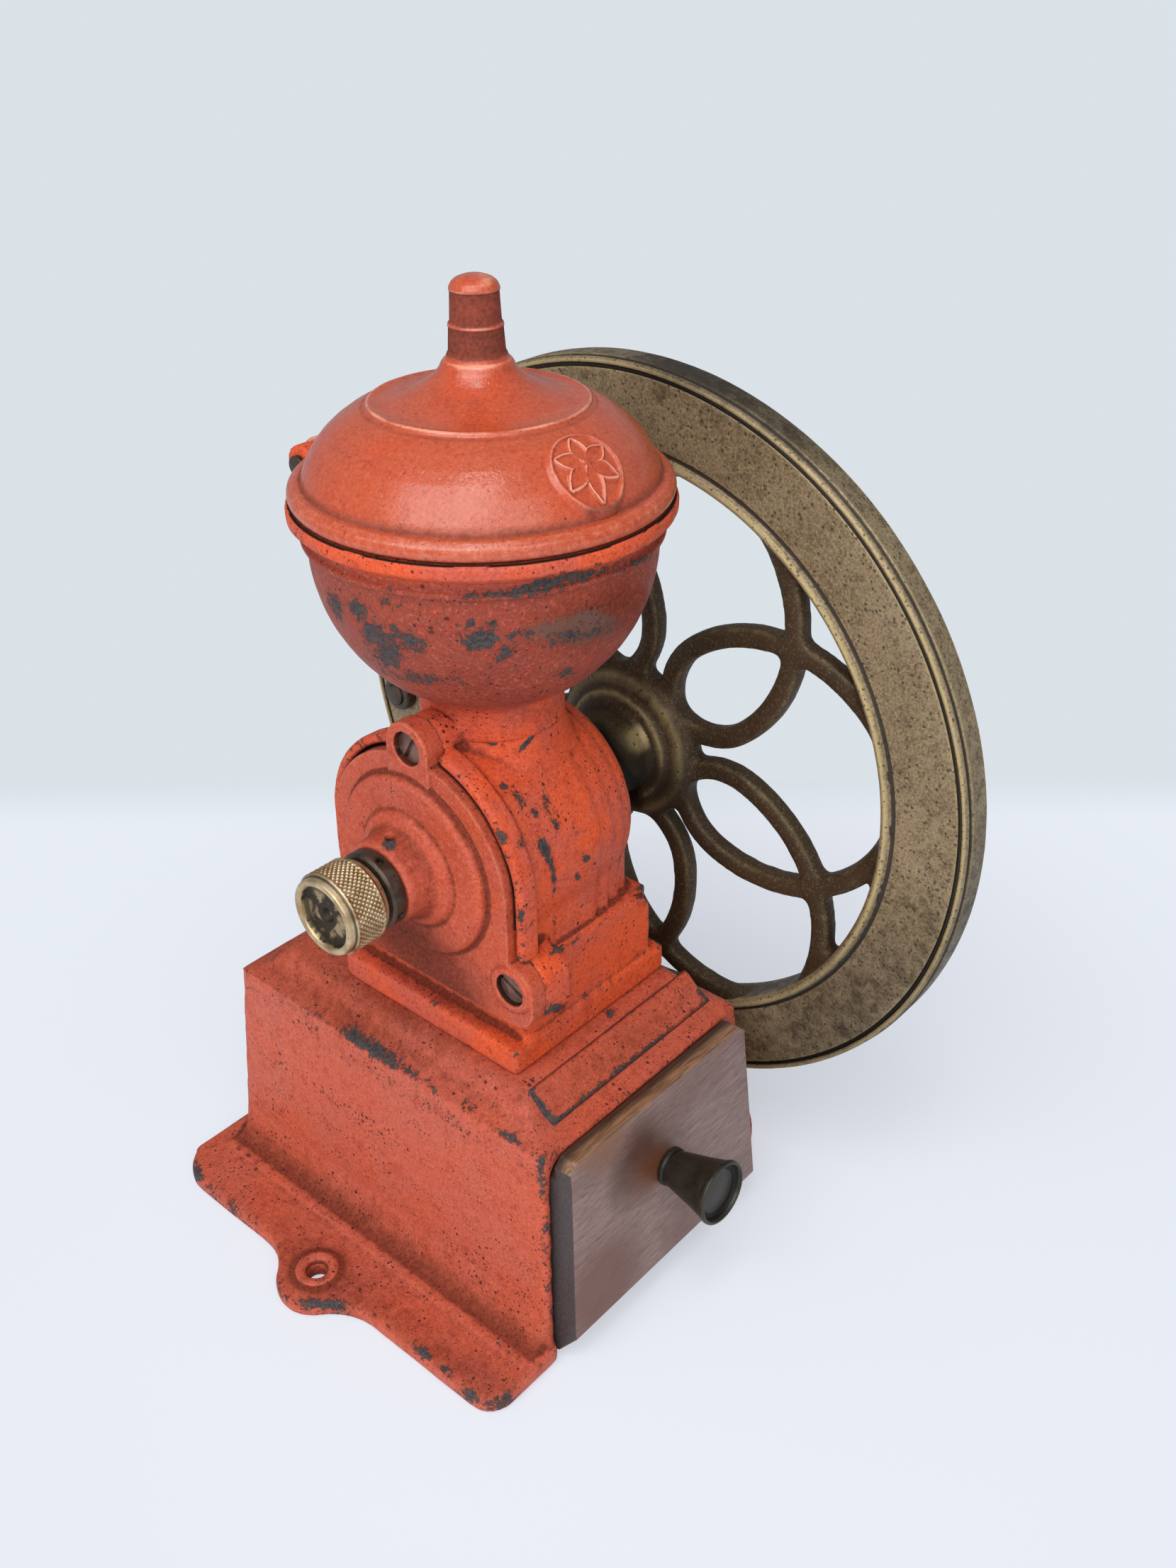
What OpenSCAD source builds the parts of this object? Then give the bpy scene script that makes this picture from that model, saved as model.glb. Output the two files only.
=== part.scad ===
// Hand cranked cast iron coffee mill with a flywheel and a drawer, in mm, +Z up.
// The drawer faces -Y, the axle runs along X, the flywheel is at +X.
// The origin is on the table midway between the two screw holes of the base.

/* [Base box] */
// height of the box at its top edge
box_h = 81; // [78:0.5:84]
// half width of the box at its top edge
box_half = 49; // [48:0.5:51]
// outward draft of each side wall, top to foot
side_draft = 6.5; // [5:0.5:8]
// front edge of the box at the top, in Y
front_y = -74.5; // [-78:0.5:-73]
// rear edge of the box at the top, in Y
back_y = 69.5; // [66:0.5:74]
// forward draft of the front edge, top to foot
front_draft = 7; // [6:0.5:8]
// rearward draft of the rear wall, top to foot
back_draft = 4; // [2:0.5:6]
// wall thickness of the box
box_wall = 3.6; // [3.2:0.1:4]
// thickness of the top plate
top_t = 5; // [4:0.5:6]
// rise of the sloping shoulder above the box edge
slope_rise = 11; // [9:0.5:13]

/* [Screw flange] */
// thickness of the flange
flange_t = 7; // [6:0.5:9]
// outer edge of the flange from the middle plane
flange_x = 83; // [82:0.5:86]
// screw hole centre from the middle plane
hole_x = 82.5; // [81:0.5:84]
// radius of the screw hole
hole_r = 3.5; // [2.5:0.25:4.5]
// radius of the ear round the screw hole
ear_r = 14; // [12:0.5:16]

/* [Grinding head] */
// axle position in Y
axle_y = -12.5; // [-14:0.5:-11]
// axle height above the top of the base
axle_rise = 63; // [61:0.5:67]
// radius of the barrel round the axle
barrel_r = 38; // [37:0.5:39]
// half length of the barrel casting along X, wheel side
barrel_end = 30.5; // [29:0.5:32]
// radius of the shaft
shaft_r = 6.5; // [6:0.25:7]
// running clearance of the shaft in its bores
run_gap = 0.05; // [0.03:0.01:0.08]
// clearance of parts fixed on the shaft
seat_gap = 0.03; // [0.02:0.01:0.05]
// radius of the bore that holds the fixed burr
burr_bore_r = 26; // [25:0.5:27]
// gap between the rotating burr and the fixed burr
burr_gap = 1.3; // [1.2:0.1:2]

/* [Hopper and lid] */
// height of the hopper rim above the axle
rim_rise = 108.3; // [105:0.1:113]
// width of the rim lip round the bowl
rim_lip = 5; // [4:0.5:6]
// outer radius of the bowl
bowl_r = 50; // [49:0.5:51]
// wall thickness of the bowl
bowl_wall = 3.8; // [3:0.1:5]
// radius of the neck under the bowl
neck_r = 22; // [21:0.5:24]
// height of the lid from rim to finial top
lid_h = 59; // [57:0.5:62]
// hinge pin distance behind the rim
hinge_gap = 10; // [9:0.5:12]
// radius of the hinge pin
hinge_pin_r = 2; // [1.5:0.25:2.25]

/* [Front cover] */
// radius of the round top of the cover
cover_r = 37; // [36:0.5:38]
// plate thickness of the cover
cover_t = 6; // [5:0.5:7]
// radius of the raised disc on the cover
disc_r = 30; // [28:0.5:31]
// radius of the adjuster knob
adjust_r = 13.2; // [12:0.2:15]
// radius of the lock ring
lock_r = 12.4; // [11:0.2:13.4]

/* [Flywheel] */
// outer radius of the flywheel
wheel_r = 130.5; // [128:0.5:134]
// radial width of the rim
rim_w = 29.5; // [27:0.5:31]
// thickness of the rim along X
rim_t = 13; // [11:0.2:15]
// inner face of the rim in X
wheel_x = 63.6; // [63:0.2:66]
// width of a spoke arm
arm_w = 7.4; // [6.4:0.2:8.4]
// number of looped spokes
petals = 6; // [6:1:6]
// hub barrel radius
hub_r = 15.5; // [14.5:0.5:17]
// length of the hand grip
grip_len = 84; // [74:1:94]
// largest radius of the hand grip
grip_r = 13; // [11:0.5:15]

/* [Drawer] */
// clearance of the drawer front in its opening
drawer_gap = 1; // [0.6:0.1:1.4]
// thickness of the drawer front
board_t = 15; // [13:0.5:17]
// distance the drawer front stands proud
board_proud = 8; // [6:0.5:9]
// inside length of the drawer
drawer_len = 118; // [100:1:122]
// height of the drawer sides
drawer_side_h = 50; // [40:1:56]
// thickness of the drawer sides
side_t = 6; // [5:0.5:8]
// radius of the drawer knob at its wide end
pull_r = 10.9; // [9:0.1:12]
// length of the drawer knob
pull_len = 22; // [18:0.5:24]

/* [Hidden] */
$fn = 72;
eps = 0.01;
foot_half = box_half + side_draft;
plate_z = box_h + slope_rise;
axle_z = plate_z + axle_rise;
rim_z = axle_z + rim_rise;
rim_r = bowl_r + rim_lip;
hinge_y = rim_r + hinge_gap;
foot_plate_t = 10;
plinth_x = 36.5;
plinth_front = axle_y - 40.5;
band_y = 38;
band_top = 36;
screw_sink = 3.4;
plinth_back = back_y - 16;
cavity_half_top = box_half - box_wall;
cavity_top = box_h - top_t;
cavity_half_foot = foot_half - box_wall;
front_tilt = atan(front_draft / box_h);
rail_z = 8;
mouth_x0 = -27.5;
mouth_x1 = -12;
body_x0 = -29;
cover_face = body_x0 - cover_t;
lug_z = barrel_r + 2;
lug_y = barrel_r;
lug_r = 8.5;
cover_low = foot_plate_t - axle_rise + 10;
low_lug_z = cover_low + 14;
boss_end = -50;
bush_r = 9.5;
bush_end = barrel_end + 5;
shaft_x0 = -40;
pad_x0 = -44;
hub_x0 = bush_end + 3.2;
hub_flange_x = wheel_x - 1.6;
hub_x1 = wheel_x + rim_t + 3.4;
washer_t = 1.6;
nut_t = 7;
nut_r = 11;
shaft_x1 = hub_x1 + washer_t + nut_t + 2;
rim_in = wheel_r - rim_w;
handle_r = wheel_r - rim_w / 2;
handle_a = 190;
spindle_r = 4;
collar_t = 4;
grip_x0 = wheel_x + rim_t + collar_t + 0.4;
grip_x1 = grip_x0 + grip_len;
bowl_z = rim_z - 13.3;
joint_z = axle_z + barrel_r + 7;
spigot_r = 18;
spigot_h = 8;
bean_r = 15;
set_r = 2;
hinge_z = rim_z - 4.3;
ear_w = 6;
knuckle_half = 6;
board_low = 3;
board_top = cavity_top - drawer_gap;
board_out_low = foot_half - side_draft * board_low / box_h - box_wall - drawer_gap;
board_out_top = foot_half - side_draft * board_top / box_h - box_wall - drawer_gap;
drawer_half = cavity_half_top - 3;
drawer_y0 = front_y + 2;
pull_z = 49;

// colours
red = [0.78, 0.27, 0.19];
iron = [0.36, 0.33, 0.26];
steel = [0.45, 0.45, 0.46];
brass = [0.70, 0.60, 0.35];
bronze = [0.25, 0.23, 0.20];
wood = [0.48, 0.38, 0.35];

// helpers that work round the axle
module at_axle() {
    translate([0, axle_y, axle_z])
        children();
}

module cyl_x(x0, x1, r) {
    translate([x0, 0, 0])
        rotate([0, 90, 0])
            cylinder(h = x1 - x0, r = r);
}

module spin_x() {
    rotate([0, 90, 0])
        rotate_extrude()
            children();
}

// a flat shape drawn in (-Y, Z), stretched along X
module along_x(x0, x1) {
    rotate([90, 0, -90])
        translate([0, 0, -x1])
            linear_extrude(x1 - x0)
                children();
}

// a flat shape drawn in (X, Z), stretched along Y
module along_y(y0, y1) {
    translate([0, y1, 0])
        rotate([90, 0, 0])
            linear_extrude(y1 - y0)
                children();
}

// base box
module box_solid() {
    intersection() {
        along_y(front_y - 40, back_y + 40)
            polygon([[-foot_half, 0], [foot_half, 0], [box_half, box_h], [-box_half, box_h]]);
        along_x(-100, 100)
            polygon([[-front_y + front_draft, 0], [-front_y, box_h], [-back_y, box_h], [-back_y - back_draft, 0]]);
    }
}

module shoulder(inset, low, high) {
    intersection() {
        along_y(front_y - 40, back_y + 40)
            polygon([[-box_half + 1 + inset, low], [-plinth_x + inset, high], [plinth_x - inset, high],
                [box_half - 1 - inset, low]]);
        along_x(-100, 100)
            polygon([[-front_y - 1.5 - inset, low], [-plinth_front - inset, high], [-plinth_back + inset, high],
                [-back_y + 1 + inset, low]]);
    }
}

module box_cavity() {
    r = 5;
    arc = [for (a = [0 : 22.5 : 90]) [cavity_half_top - r + r * cos(a), cavity_top - r + r * sin(a)]];
    left = [for (a = [90 : -22.5 : 0]) [-cavity_half_top + r - r * cos(a), cavity_top - r + r * sin(a)]];
    along_y(front_y - 40, back_y - box_wall)
        polygon(concat([[-cavity_half_foot, -1], [cavity_half_foot, -1]], arc, left));
}

module ear_shape() {
    fillet_r = 22;
    d = sqrt(pow(ear_r + fillet_r, 2) - pow(flange_x + fillet_r - hole_x, 2));
    k = ear_r / (ear_r + fillet_r);
    tx = hole_x + k * (flange_x + fillet_r - hole_x);
    difference() {
        union() {
            translate([hole_x, 0])
                circle(ear_r);
            polygon([[flange_x - 8, -d], [flange_x, -d], [tx, -k * d], [tx, k * d], [flange_x, d],
                [flange_x - 8, d]]);
        }
        for (s = [-1, 1])
            translate([flange_x + fillet_r, s * d])
                circle(fillet_r + 0.03);
    }
}

module flange_shape(front, front_r, rear, rear_r) {
    translate([foot_half - 12, front + front_r])
        square([flange_x - foot_half + 12, rear - front - front_r - rear_r]);
    translate([foot_half - 12, front])
        square([flange_x - front_r - foot_half + 12, rear - front]);
    translate([flange_x - front_r, front + front_r])
        circle(front_r);
    translate([flange_x - rear_r, rear - rear_r])
        circle(rear_r);
    ear_shape();
}

module foot_cove(side) {
    f = foot_half - side_draft * flange_t / box_h;
    w = foot_half - side_draft * (flange_t + 14) / box_h;
    along_y(front_y - front_draft + 3, back_y + back_draft - 3)
        polygon([[side * (f - 4), flange_t - 1], [side * (f + 10), flange_t - 1], [side * (f + 10), flange_t + 0.9],
            [side * (f + 9.4), flange_t + 1.1], [side * (f + 7.4), flange_t + 0.9], [side * (f + 5), flange_t + 1.6],
            [side * (f + 3), flange_t + 3], [side * (f + 1.4), flange_t + 5.4], [side * (f + 0.3), flange_t + 9],
            [side * (w - 0.7), flange_t + 15], [side * (w - 4), flange_t + 15]]);
}

module base_box() {
    color(red)
        difference() {
            union() {
                box_solid();
                shoulder(0, box_h - eps, plate_z);
                mirror([1, 0, 0])
                    linear_extrude(flange_t)
                        flange_shape(front_y - front_draft - 1, 9, back_y + back_draft + 6, 15);
                linear_extrude(flange_t)
                    flange_shape(front_y - front_draft + 6, 28, back_y + back_draft + 6, 15);
                translate([-flange_x + 16, back_y + back_draft - 4, 0])
                    cube([2 * flange_x - 32, 10, flange_t]);
                foot_cove(-1);
                intersection() {
                    foot_cove(1);
                    linear_extrude(60)
                        flange_shape(front_y - front_draft + 6, 28, back_y + back_draft + 6, 15);
                }
                for (s = [-1, 1])
                    translate([s * hole_x, 0, 0])
                        cylinder(h = flange_t + 1.2, r = hole_r + 5);
            }
            difference() {
                box_cavity();
                for (s = [-1, 1])
                    translate([s * (cavity_half_foot - 4), (front_y + back_y) / 2, rail_z / 2 + 1])
                        cube([20, back_y - front_y - 24, rail_z - 2], center = true);
            }
            shoulder(5, box_h - top_t - 1, plate_z - 6);
            translate([mouth_x0 + 2, axle_y - 17, plate_z - 20])
                cube([mouth_x1 - mouth_x0 + 6, 34, 40]);
            for (s = [-1, 1])
                translate([s * hole_x, 0, -1])
                    cylinder(h = 40, r = hole_r);
            bolt_places()
                translate([0, 0, plate_z - 20])
                    cylinder(h = 40, r = 3.2);
        }
}

// mill body
module bolt_places() {
    for (sx = [-1, 1], sy = [-1, 1])
        translate([sx * 26, axle_y + sy * 28, 0])
            children();
}

module barrel_profile(r) {
    e = barrel_end;
    polygon([[0, body_x0], [r, body_x0], [r, e - 24], [r - 0.8, e - 23.4], [r - 0.8, e - 17],
        [r - 1.7, e - 16.4], [r - 1.9, e - 10.6], [r - 2.9, e - 10], [r - 3.4, e - 6], [r - 5.4, e - 3],
        [r - 9, e - 0.8], [r - 13, e], [0, e]]);
}

module barrel() {
    spin_x()
        barrel_profile(barrel_r);
    translate([0, 0, cover_low])
        linear_extrude(-cover_low)
            rotate(-90)
                union() {
                    barrel_profile(barrel_r - 2.4);
                    mirror([1, 0, 0])
                        barrel_profile(barrel_r - 2.4);
                }
}

module tomb(r, low) {
    circle(r);
    translate([-r, low])
        square([2 * r, -low]);
}

module pads() {
    for (s = [-1, 1]) {
        translate([0, s * lug_y, low_lug_z])
            cyl_x(body_x0, body_x0 + 12, lug_r);
        translate([body_x0, s > 0 ? 20 : -lug_y - lug_r, cover_low + 3])
            cube([12, lug_y + lug_r - 20, low_lug_z - cover_low - 3]);
    }
}

module hopper_section() {
    meet = bowl_z - sqrt(pow(bowl_r, 2) - pow(neck_r + 2.6, 2));
    intersection() {
        translate([0, bowl_z])
            circle(bowl_r);
        translate([0, bowl_z - bowl_r - 10])
            square([bowl_r + 10, bowl_r + 10]);
    }
    polygon([[0, bowl_z - 1], [bowl_r - 0.02, bowl_z - 1], [bowl_r, bowl_z], [bowl_r + 0.3, bowl_z + 2.2],
        [bowl_r + 1.7, bowl_z + 2.8], [bowl_r + 1.9, bowl_z + 4], [bowl_r + 0.9, bowl_z + 5],
        [bowl_r + 1.5, bowl_z + 7.4], [rim_r - 1.2, rim_z - 4.6], [rim_r, rim_z - 3.6], [rim_r, rim_z - 1],
        [rim_r - 0.8, rim_z], [0, rim_z]]);
    polygon([[0, joint_z], [neck_r, joint_z], [neck_r, meet - 4.4], [neck_r + 0.6, meet - 2.2],
        [neck_r + 2, meet - 0.4], [neck_r + 4.6, meet + 1.3], [0, meet + 3.6]]);
    translate([0, joint_z - spigot_h])
        square([spigot_r, spigot_h + 1]);
}

module collar_section() {
    z = axle_z;
    polygon([[0, z], [neck_r + 3.4, z], [neck_r + 3.4, joint_z - 14], [neck_r + 1.4, joint_z - 11],
        [neck_r + 0.4, joint_z - 8], [neck_r, joint_z - 6], [neck_r, joint_z], [0, joint_z]]);
}

module collar_inside() {
    translate([0, axle_z])
        square([bean_r, joint_z - axle_z + 1]);
    translate([0, joint_z - spigot_h - 0.2])
        square([spigot_r + seat_gap, spigot_h + 1]);
}

module hopper_inside() {
    r = bowl_r - bowl_wall;
    intersection() {
        translate([0, bowl_z])
            circle(r);
        translate([0, bowl_z - bowl_r - 10])
            square([bowl_r + 10, bowl_r + 10 + eps]);
    }
    translate([0, bowl_z])
        square([r, 40]);
    translate([0, axle_z])
        square([bean_r, bowl_z - axle_z]);
}

module hinge_ears() {
    for (s = [-1, 1])
        translate([s * (knuckle_half + 0.4 + ear_w / 2), 0, 0]) {
            translate([-ear_w / 2, hinge_y, hinge_z])
                cyl_x(0, ear_w, 6);
            along_ear(ear_w);
        }
}

module along_ear(w) {
    translate([-w / 2, 0, 0])
        along_x(0, w)
            polygon([[-bowl_r + 1, hinge_z - 16], [-hinge_y, hinge_z - 6], [-hinge_y, hinge_z + 4],
                [-bowl_r + 1, hinge_z + 3]]);
}

module body_outside() {
    at_axle() {
        barrel();
        along_x(body_x0 - 3.6, body_x0 + 4)
            difference() {
                tomb(cover_r + 4.2, low_lug_z);
                translate([-100, -100])
                    square([200, 100 + low_lug_z]);
                for (s = [-1, 1])
                    translate([s * lug_y, low_lug_z])
                        circle(lug_r + 0.6);
                translate([0, lug_z])
                    circle(lug_r + 0.6);
                translate([-lug_r - 0.6, lug_z - 12])
                    square([2 * lug_r + 1.2, 12]);
            }
        along_x(body_x0, body_x0 + 15)
            translate([0, lug_z])
                circle(lug_r - 0.5);
        pads();
        translate([body_x0, -band_y, foot_plate_t - axle_rise - 2])
            cube([barrel_end + 1 - body_x0, 2 * band_y, band_top - foot_plate_t + 2]);
    }
    translate([-plinth_x + 1, plinth_front + 1, plate_z])
        cube([2 * plinth_x, 2 * (axle_y - plinth_front) - 2, foot_plate_t]);
    translate([0, axle_y, 0])
        rotate_extrude()
            collar_section();
}

module mill_body() {
    color(red)
        difference() {
            body_outside();
            at_axle() {
                along_x(body_x0 - 20, body_x0)
                    tomb(cover_r + 0.8, cover_low);
                cyl_x(body_x0 - 1, -5, burr_bore_r);
                cyl_x(-6, 22, 19);
                cyl_x(20, 60, bush_r);
                translate([body_x0 - 8, 0, lug_z])
                    cyl_x(0, 18, 2.6);
                for (s = [-1, 1])
                    translate([body_x0 - 8, s * lug_y, low_lug_z])
                        cyl_x(0, 24, 2.6);
            }
            translate([mouth_x0, axle_y - 15, plate_z - 1])
                cube([mouth_x1 - mouth_x0, 30, axle_z - plate_z + 1]);
            translate([0, axle_y, 0])
                rotate_extrude()
                    collar_inside();
            at_set_screw()
                translate([0, 0, -3])
                    rotate([0, 0, 40])
                        cylinder(h = 20, r = set_r + 0.1);
            translate([0, axle_y, joint_z - seat_gap])
                rotate([0, 0, 25])
                    cylinder(h = 20, r = neck_r + 0.2);
            bolt_places()
                translate([0, 0, plate_z - 1])
                    cylinder(h = 9, r = 3 + seat_gap);
        }
}

// hopper
module hopper() {
    color(red)
        translate([0, axle_y, 0])
            difference() {
                union() {
                    rotate_extrude()
                        hopper_section();
                    difference() {
                        hinge_ears();
                        translate([0, 0, bowl_z - 5])
                            cylinder(h = 60, r = bowl_r - 3);
                    }
                }
                rotate_extrude()
                    hopper_inside();
                translate([-40, hinge_y, hinge_z])
                    cyl_x(0, 80, hinge_pin_r + seat_gap);
            }
}

module at_set_screw() {
    translate([0, axle_y + spigot_r + 0.1, joint_z - 4.4])
        rotate([-90, 0, 0])
            children();
}

module hopper_screw() {
    color(steel)
        at_set_screw()
            difference() {
                cylinder(h = neck_r - spigot_r + 1, r = set_r);
                translate([0, 0, neck_r - spigot_r + 1])
                    cube([8, 0.8, 1.6], center = true);
            }
}

module body_bolts() {
    color(steel)
        bolt_places() {
            translate([0, 0, plate_z - 6 - 4])
                cylinder(h = 4, r = 5.5, $fn = 6);
            translate([0, 0, plate_z - 7])
                cylinder(h = 14.5, r = 3);
        }
}

// front cover
module cover_shape() {
    difference() {
        union() {
            tomb(cover_r, cover_low);
            translate([-lug_y, cover_low])
                square([2 * lug_y, 14]);
            for (s = [-1, 1]) {
                translate([s * lug_y, low_lug_z])
                    circle(lug_r);
                translate([s * lug_y, cover_low + lug_r])
                    circle(lug_r);
                translate([s > 0 ? lug_y : -lug_y - lug_r, cover_low + lug_r])
                    square([lug_r, low_lug_z - cover_low - lug_r]);
            }
        }
        translate([0, -100 + cover_low])
            square([200, 200], center = true);
    }
}

module front_cover() {
    color(red)
        at_axle()
            difference() {
                union() {
                    along_x(cover_face, body_x0)
                        cover_shape();
                    along_x(cover_face - 1, body_x0)
                        union() {
                            translate([0, lug_z])
                                circle(lug_r);
                            translate([-lug_r, lug_z - 12])
                                square([2 * lug_r, 12]);
                        }
                    for (s = [-1, 1])
                        translate([0, s * lug_y, low_lug_z])
                            cyl_x(cover_face - 1, body_x0 - 1, lug_r - 1);
                    spin_x()
                        polygon([[0, cover_face + 2], [disc_r, cover_face + 2], [disc_r, cover_face - 1.6],
                            [disc_r - 0.8, cover_face - 2.7], [disc_r - 2, cover_face - 3.2],
                            [20, cover_face - 3.2], [19, cover_face - 3.8], [18.4, cover_face - 5],
                            [17, cover_face - 5.6], [15.6, cover_face - 6.4], [14.6, cover_face - 8],
                            [13.8, boss_end + 1.2], [13, boss_end], [0, boss_end]]);
                    cyl_x(body_x0 - 1, body_x0 + 4, burr_bore_r - 0.1);
                }
                cyl_x(boss_end - 1, 0, shaft_r + run_gap);
                translate([boss_end + 5.6, 0, 0])
                    cylinder(h = 20, r = 1.8);
                translate([0, 0, lug_z])
                    cyl_x(cover_face - 5, 0, 2.6);
                translate([0, 0, lug_z])
                    cyl_x(cover_face - 5, cover_face + screw_sink, 5.4);
                for (s = [-1, 1]) {
                    translate([0, s * lug_y, low_lug_z])
                        cyl_x(cover_face - 5, 0, 2.6);
                    translate([0, s * lug_y, low_lug_z])
                        cyl_x(cover_face - 5, cover_face + screw_sink, 5.4);
                }
            }
}

module slotted_screw(turn) {
    difference() {
        union() {
            cyl_x(cover_face + screw_sink - 2.5, cover_face + screw_sink, 5);
            cyl_x(cover_face + 1, body_x0 + 9, 2.5);
        }
        rotate([turn, 0, 0])
            translate([cover_face + screw_sink - 2.5, 0, 0])
                cube([2.6, 12, 1.5], center = true);
    }
}

module cover_screws() {
    color(steel)
        at_axle() {
            translate([0, 0, lug_z])
                slotted_screw(120);
            translate([0, -lug_y, low_lug_z])
                slotted_screw(25);
            translate([0, lug_y, low_lug_z])
                slotted_screw(70);
        }
}

// burrs, bearing and shaft
module burr_ring() {
    color(steel)
        at_axle()
            difference() {
                spin_x()
                    polygon([[19.6 + burr_gap, -21], [burr_bore_r - seat_gap, -21], [burr_bore_r - seat_gap, -5],
                        [13 + burr_gap, -5]]);
                for (i = [0 : 11])
                    rotate([i * 30, 0, 0])
                        translate([-13, 0, 17.2 + burr_gap])
                            rotate([0, 22, 0])
                                cube([26, 1.6, 2], center = true);
            }
}

module rear_bush() {
    color(brass)
        at_axle()
            difference() {
                cyl_x(22, bush_end, bush_r - seat_gap);
                cyl_x(20, bush_end + 1, shaft_r + run_gap);
            }
}

module lock_ring() {
    color(bronze)
        at_axle()
            difference() {
                spin_x()
                    polygon([[0, boss_end - 5.4], [lock_r - 0.8, boss_end - 5.4], [lock_r, boss_end - 4.6],
                        [lock_r, boss_end - 0.8], [lock_r - 0.8, boss_end], [0, boss_end]]);
                cyl_x(boss_end - 10, boss_end + 5, shaft_r + run_gap);
                for (i = [0 : 3])
                    rotate([i * 90 + 20, 0, 0])
                        translate([boss_end - 2.7, 0, lock_r - 2])
                            cylinder(h = 5, r = 1.3);
            }
}

module adjuster_knob() {
    x0 = boss_end - 6.4;
    color(brass)
        at_axle()
            difference() {
                union() {
                    spin_x()
                        polygon([[0, x0], [adjust_r - 1.6, x0], [adjust_r - 1.6, x0 - 2.6], [adjust_r, x0 - 3.2],
                            [adjust_r, x0 - 13], [adjust_r - 0.9, x0 - 14], [adjust_r - 1.2, x0 - 16],
                            [adjust_r - 3, x0 - 16], [adjust_r - 3.6, x0 - 14], [0, x0 - 14]]);
                    cyl_x(x0 - 1, pad_x0, shaft_r);
                }
                cyl_x(x0 - 20, x0 - 9, 2.2);
            }
}

module thrust_pad() {
    color(steel)
        at_axle()
            cyl_x(pad_x0, shaft_x0, shaft_r - 0.4);
}

module shaft() {
    color(steel)
        at_axle()
            difference() {
                union() {
                    cyl_x(shaft_x0, hub_x1 - 0.1, shaft_r);
                    cyl_x(hub_x1 - 1, shaft_x1, shaft_r - 1);
                }
                translate([hub_x0 + 4, -1.5, shaft_r - 2])
                    cube([18, 3, 6]);
                translate([-14, 0, -20])
                    cylinder(h = 40, r = 1.5 + seat_gap);
            }
}

module rotor_burr() {
    color(steel)
        at_axle()
            difference() {
                spin_x()
                    polygon([[0, -22], [20.1, -22], [19.6, -21], [13, -5], [0, -5]]);
                cyl_x(-30, 0, shaft_r + seat_gap);
                for (i = [0 : 9])
                    rotate([i * 36, 0, 0])
                        translate([-13, 0, 16.9])
                            rotate([0, 22, 14])
                                cube([26, 2.4, 4], center = true);
                translate([-14, 0, -30])
                    cylinder(h = 60, r = 1.5 + seat_gap);
            }
}

module feed_worm() {
    color(steel)
        at_axle()
            difference() {
                union() {
                    cyl_x(-4.9, 19, 10);
                    intersection() {
                        cyl_x(-4.2, 19, 17.6);
                        for (i = [0 : 5])
                            rotate([i * 60, 0, 0])
                                translate([-2 + 3.6 * i, 0, 13])
                                    rotate([0, 0, 24])
                                        cube([3.2, 24, 12], center = true);
                    }
                }
                cyl_x(-10, 30, shaft_r + seat_gap);
            }
}

module burr_pin() {
    color(steel)
        at_axle()
            translate([-14, 0, -12])
                cylinder(h = 24, r = 1.5);
}

// flywheel, its fixings and the crank handle
module arm_shape() {
    top_v = 0.1584 * rim_in;
    mid_u = 0.4554 * rim_in;
    r_in = 0.2347 * rim_in;
    r_out = 0.503 * rim_in;
    intersection() {
        translate([mid_u, top_v - r_in])
            difference() {
                circle(r_in + arm_w / 2);
                circle(r_in - arm_w / 2);
            }
        translate([0, -3])
            square([mid_u, rim_in]);
    }
    intersection() {
        translate([mid_u, top_v - r_out])
            difference() {
                circle(r_out + arm_w / 2, $fn = 96);
                circle(r_out - arm_w / 2, $fn = 96);
            }
        translate([mid_u, -0.36 * rim_in])
            square([rim_in, rim_in]);
        circle(rim_in + 3, $fn = 96);
    }
}

module spokes() {
    for (i = [0 : petals - 1])
        rotate(40 + i * 360 / petals) {
            arm_shape();
            mirror([0, 1])
                arm_shape();
        }
}

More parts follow.
